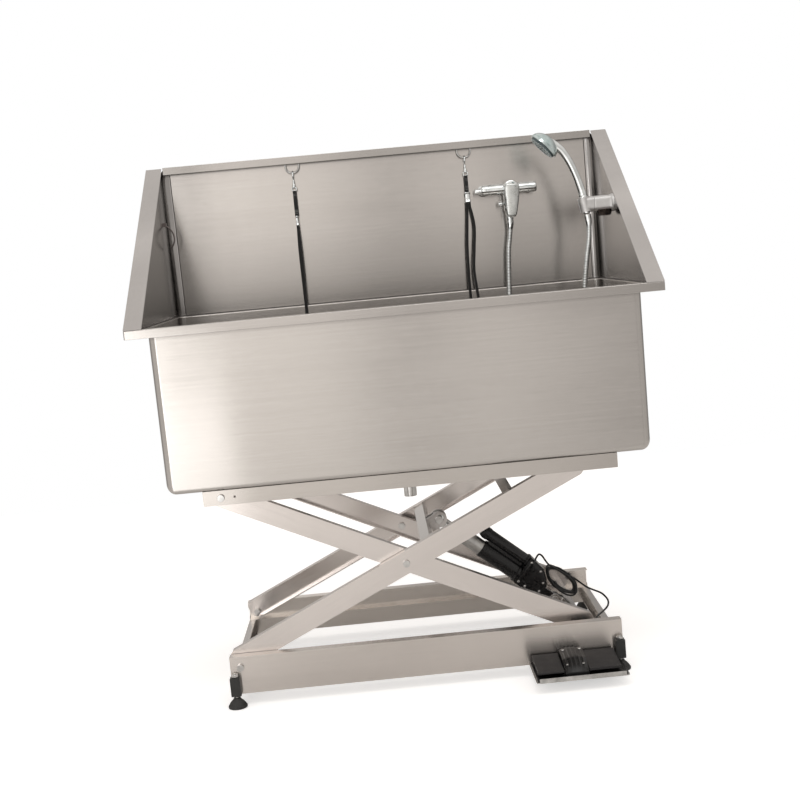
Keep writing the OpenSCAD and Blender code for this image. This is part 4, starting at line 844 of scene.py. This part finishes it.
# Lever: a satin shield, full at the shoulders and drawn to a round tip, with a crowned front.
rows = []
for h, middle, half, back, front in (
        (-80, 1, 4, 5.6, 7), (-79.4, 1, 8, 4.8, 7.9), (-77, 1, 11.2, 3.8, 8.7), (-72, 1.1, 13.2, 3.1, 9.5),
        (-62, 1.4, 14.9, 2.6, 10.1), (-50, 1.7, 16.4, 2.2, 10.5), (-34, 2, 18.2, 1.6, 10.8),
        (-20, 1.5, 19.8, 0.8, 10.9), (-6, 1, 20.8, 0.2, 11), (2, 1, 20.9, 0.1, 11), (6, 1, 20.2, 0.4, 10.8),
        (9.5, 1, 18.2, 1.2, 9.9), (11.3, 1, 14.8, 2.2, 8.7), (12, 1, 9, 3.6, 7.2)):
    a = np.linspace(0, 2 * np.pi, 41)[:-1]
    x = middle + half * np.abs(np.cos(a)) ** 0.75 * np.sign(np.cos(a))
    y = (back + front) / 2 + (front - back) / 2 * np.abs(np.sin(a)) ** 0.8 * np.sign(np.sin(a))
    turn = math.radians(4)
    rows.append(np.stack([mx + x * math.cos(turn) + h * math.sin(turn), my - 34.3 - y,
                          mz - x * math.sin(turn) + h * math.cos(turn)], axis=1))
shape("mixer_shield_lever", stacked(rows), satin_chrome, "lever", ["mixer_lever"], 50)
knob = [(0, 0.5), (0, 3.8), (4.6, 4), (5, 5.6), (5.8, 6.9, 1), (7, 7, 1), (14, 6.3, 1), (15.4, 5.4),
        (16, 4), (16, 0.5)]
shape("diverter_fluted_knob", turned(knob, (mx - 20.3, my, mz - 41), (-1, 0, 0), 48, 12, 0.5), chrome, "diverter",
      ["diverter_knob"], 30)


# ---------------------------------------------------------------- shower holder
# Wall plate and moulded arm with rolled ends on the right guard, the cup that tilts in it, and the fluted clamp
# knob beneath. All are plastic, chromed to a flat satin but for the smoked knob.

# Satin chrome on plastic: an even pale grey without reflections.
holder_satin = plated("chrome_satin_holder", "#c2c1c0", "#d8d7d6", 0.42)
cup_at = np.array([cup_x, 40, rim_z + 204.0])
plate = [(0, 0.5), (0, 21), (0.9, 22.5), (2.4, 23), (5.8, 23), (6, 0.5)]
shape("holder_arm", joined(
    turned(plate, cup_at + (69.5, 0, 0), (1, 0, 0), 48),
    tower([(14.5, 17.5, 10.5, 23.3), (16, 19, 11.4, 23.8), (16.8, 19.8, 11.9, 25), (17, 20, 12, 27.5), (17, 20, 12, 62),
           (17.4, 20.6, 12.4, 66), (18.6, 21.8, 13.4, 69), (20, 22.6, 14.5, 70.5)], "x", cup_at)),
      holder_satin, "top", ["holder_base"], 32)
grip = [(0, 0.5), (0, 14.5), (1.2, 16.8, 1), (3, 18, 1), (15, 22.3, 1), (16.8, 22.6), (17.7, 21.8),
        (18, 20), (18, 0.5)]
shape("holder_clamp_knob", turned(grip, cup_at + (50, 0, -33), (0, 0, 1), 80, 20), dark_chrome, "top",
      (), 30)
edged(["holder_cup"], holder_satin, 2.5, 4)


# ---------------------------------------------------------------- hand shower
# A bent chromed handle with a waist and a seam line where it meets the cone that sits in the cup, swelling into the
# head. A groove parts the head's dome from its rim, and a grey plate with silicone nozzles closes it.

# Chrome on plastic: a mirror with a cool green cast.
teal_chrome = plated("chrome_on_plastic_cool", "#b4c6c6", "#dfe9e9", 0.07)
# Moulded plastic of the spray plate: a dark blue-grey with a low sheen.
spray_plastic = moulded("plastic_grey_spray_plate", "#39464a", "#5c6a6c", 0.3, 0.8)
# Silicone: pale, soft and matt.
nozzle_silicone = moulded("silicone_pale_nozzles", "#b9c6c6", "#dbe4e3", 0.4, 0.4)
seat = math.radians(9.5)


def in_seat(p):
    """The hand shower's own millimetres, tilted by seat about Y, to the tub's frame."""
    p = np.asarray(p, float)
    return np.stack([p[..., 0] * math.cos(seat) - p[..., 2] * math.sin(seat), p[..., 1],
                     p[..., 0] * math.sin(seat) + p[..., 2] * math.cos(seat)], axis=-1) + cup_at


spine = smooth([[0, 0, -24], [0, 0, -6], [0, 0, 12], [0, 0, 24], [0, 0, 36], [-5, 0, 78], [-14, 0, 118],
                [-27, 0, 150], [-43, 0, 170], [-56, 0, 181]], 8)
marks = run_of(spine)
girth = np.interp(marks, [0, 1, 45, 45.6, 46.6, 47.2, 60, 110, 160, 190, 215, 230],
                  [8.6, 9.2, 11.2, 10.2, 10.2, 10.9, 10.2, 9.3, 9.8, 10.6, 12.5, 14])
heading = math.radians(-124.5)
spray = in_seat([math.sin(heading), 0, math.cos(heading)]) - cup_at
head_at = in_seat([-72, 0, 172])
dome = [(-30, 0.5), (-30, 8), (-29.2, 14), (-27, 20.5), (-23, 28), (-18, 34), (-13, 38),
        (-9.5, 39.8), (-9, 39), (-8, 39), (-7.5, 40.4), (-3, 41.6), (-1, 41.8), (0, 41),
        (0, 37.6), (-1.5, 37.2), (-1.5, 0.5)]
shape("shower_handle", swept(in_seat(spine), girth, 28, (0, 1, 0)), chrome, "shower",
      ["hand_shower"], 32)
shape("shower_head", turned(dome, head_at, spray, 56), teal_chrome, "shower", (), 32)
face = [(-1.2, 0.5), (-1.2, 36.8), (1, 36.9, 1), (3.6, 36.2, 1), (5.2, 34.6), (5.9, 32.4), (6, 30),
        (5.5, 29.2), (5.5, 22), (4.6, 21.2), (4.6, 12), (5.5, 11.2), (5.6, 0.5)]
shape("shower_spray_plate", turned(face, head_at, spray, 96, 24, 1.0), spray_plastic, "shower", ["spray_face"],
      32)
# Nozzles: four rings of nubs, 2 mm proud. Each row is a ring's radius, its count and its plate's height.
nub = [(0, 0.5), (0, 1.9), (1.2, 1.5), (1.9, 1.2), (2.1, 0.4)]
sideways = np.cross(spray, (0, 1.0, 0))
nubs = []
for ring, count, low in ((8, 6, 5.0), (17, 14, 4.4), (26, 22, 5.2), (33.5, 28, 4.6)):
    for a in 2 * np.pi * np.arange(count) / count:
        spot = head_at + spray * low + ring * (math.cos(a) * sideways + math.sin(a) * np.array([0, 1.0, 0]))
        nubs.append(turned(nub, spot, spray, 10))
shape("shower_nozzles", joined(*nubs), nozzle_silicone, "shower")


# ---------------------------------------------------------------- room
# White floor and white surround. The camera sees the floor brightened to white, but its shadows stay.
bpy.ops.mesh.primitive_plane_add(size=6, location=(0, 0, -0.0005))
floor = bpy.context.object
floor.name = "floor"
made, tree = blank("floor_white")
matt = node(tree, "BsdfDiffuse", {"Color": (0.86, 0.85, 0.84, 1)})
seen = node(tree, "LightPath", {}, "Is Camera Ray")
glow = node(tree, "Emission", {"Color": (1, 1, 1, 1), "Strength": node(tree, "Math", {0: seen, 1: 0.5},
                                                                       operation="MULTIPLY")})
tree.links.new(node(tree, "AddShader", {0: matt, 1: glow}), tree.nodes["Material Output"].inputs["Surface"])
floor.data.materials.append(made)
floor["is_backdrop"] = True

# The hall: lighter left of the camera than right of it, a dim band straight behind the camera, dimmer again behind
# the tub, and an even pale ceiling. The grey steps are how bright each direction is, left to right.
world = bpy.data.worlds.new("daylight_hall")
bpy.context.scene.world = world
world.use_nodes = True
tree = world.node_tree
tree.nodes.clear()
way = node(tree, "TexCoord", {}, "Generated")
to_right, to_rear, to_top = [node(tree, "SeparateXYZ", {"Vector": way}, axis) for axis in "XYZ"]
ramp = node(tree, "ValToRGB", {"Fac": node(tree, "MapRange", {"Value": to_right, "From Min": -0.5, "From Max": 0.5})})
steps = ramp.node.color_ramp
steps.interpolation = "B_SPLINE"
for place, level in ((0.08, 0.52), (0.20, 0.62), (0.28, 0.78), (0.40, 0.84), (0.48, 0.88), (0.505, 0.38),
                     (0.53, 0.42), (0.56, 0.74), (0.63, 0.52), (0.70, 0.36), (0.80, 0.36)):
    steps.elements.new(place).color = (level, level, level, 1)
steps.elements[0].color, steps.elements[-1].color = (0.5, 0.5, 0.5, 1), (0.42, 0.42, 0.42, 1)
behind = node(tree, "MapRange", {"Value": to_rear, "From Min": -0.1, "From Max": 0.5, "To Min": 1.55,
                                 "To Max": 0.85}, interpolation_type="SMOOTHSTEP")
wall = node(tree, "Math", {0: ramp, 1: behind}, operation="MULTIPLY")
overhead = node(tree, "MapRange", {"Value": to_top, "From Min": 0.2, "From Max": 0.8},
                interpolation_type="SMOOTHSTEP")
amount = node(tree, "Mix", {0: overhead, 2: wall, 3: 0.85})
hall = node(tree, "Background", {"Color": linear("#faf5f0"), "Strength": amount})
white = node(tree, "Background", {"Color": (1, 1, 1, 1), "Strength": 1.0})
seen = node(tree, "LightPath", {}, "Is Camera Ray")
tree.links.new(node(tree, "MixShader", {"Fac": seen, 1: hall, 2: white}),
               tree.nodes.new("ShaderNodeOutputWorld").inputs["Surface"])


def softbox(name, place, target, width, height, watts):
    """Adds an area lamp that faces its target."""
    lamp = bpy.data.lights.new(name, "AREA")
    lamp.shape, lamp.size, lamp.size_y, lamp.energy = "RECTANGLE", width, height, watts
    made = bpy.data.objects.new(name, lamp)
    made.location = place
    made.rotation_euler = (Vector(target) - Vector(place)).to_track_quat("-Z", "Y").to_euler()
    bpy.context.scene.collection.objects.link(made)


softbox("window_left", (-2.05, -4.6, 1.3), (-1.0, 0, 0.9), 1.4, 2.8, 20)
softbox("window_low", (-1.05, -2.2, 0.35), (-0.5, -0.3, 0.75), 0.8, 0.6, 1.6)
softbox("ceiling", (0.2, -1.6, 3.6), (0, 0, 0.9), 2.6, 0.8, 16)

bpy.context.scene.view_settings.view_transform = "Standard"
low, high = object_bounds()
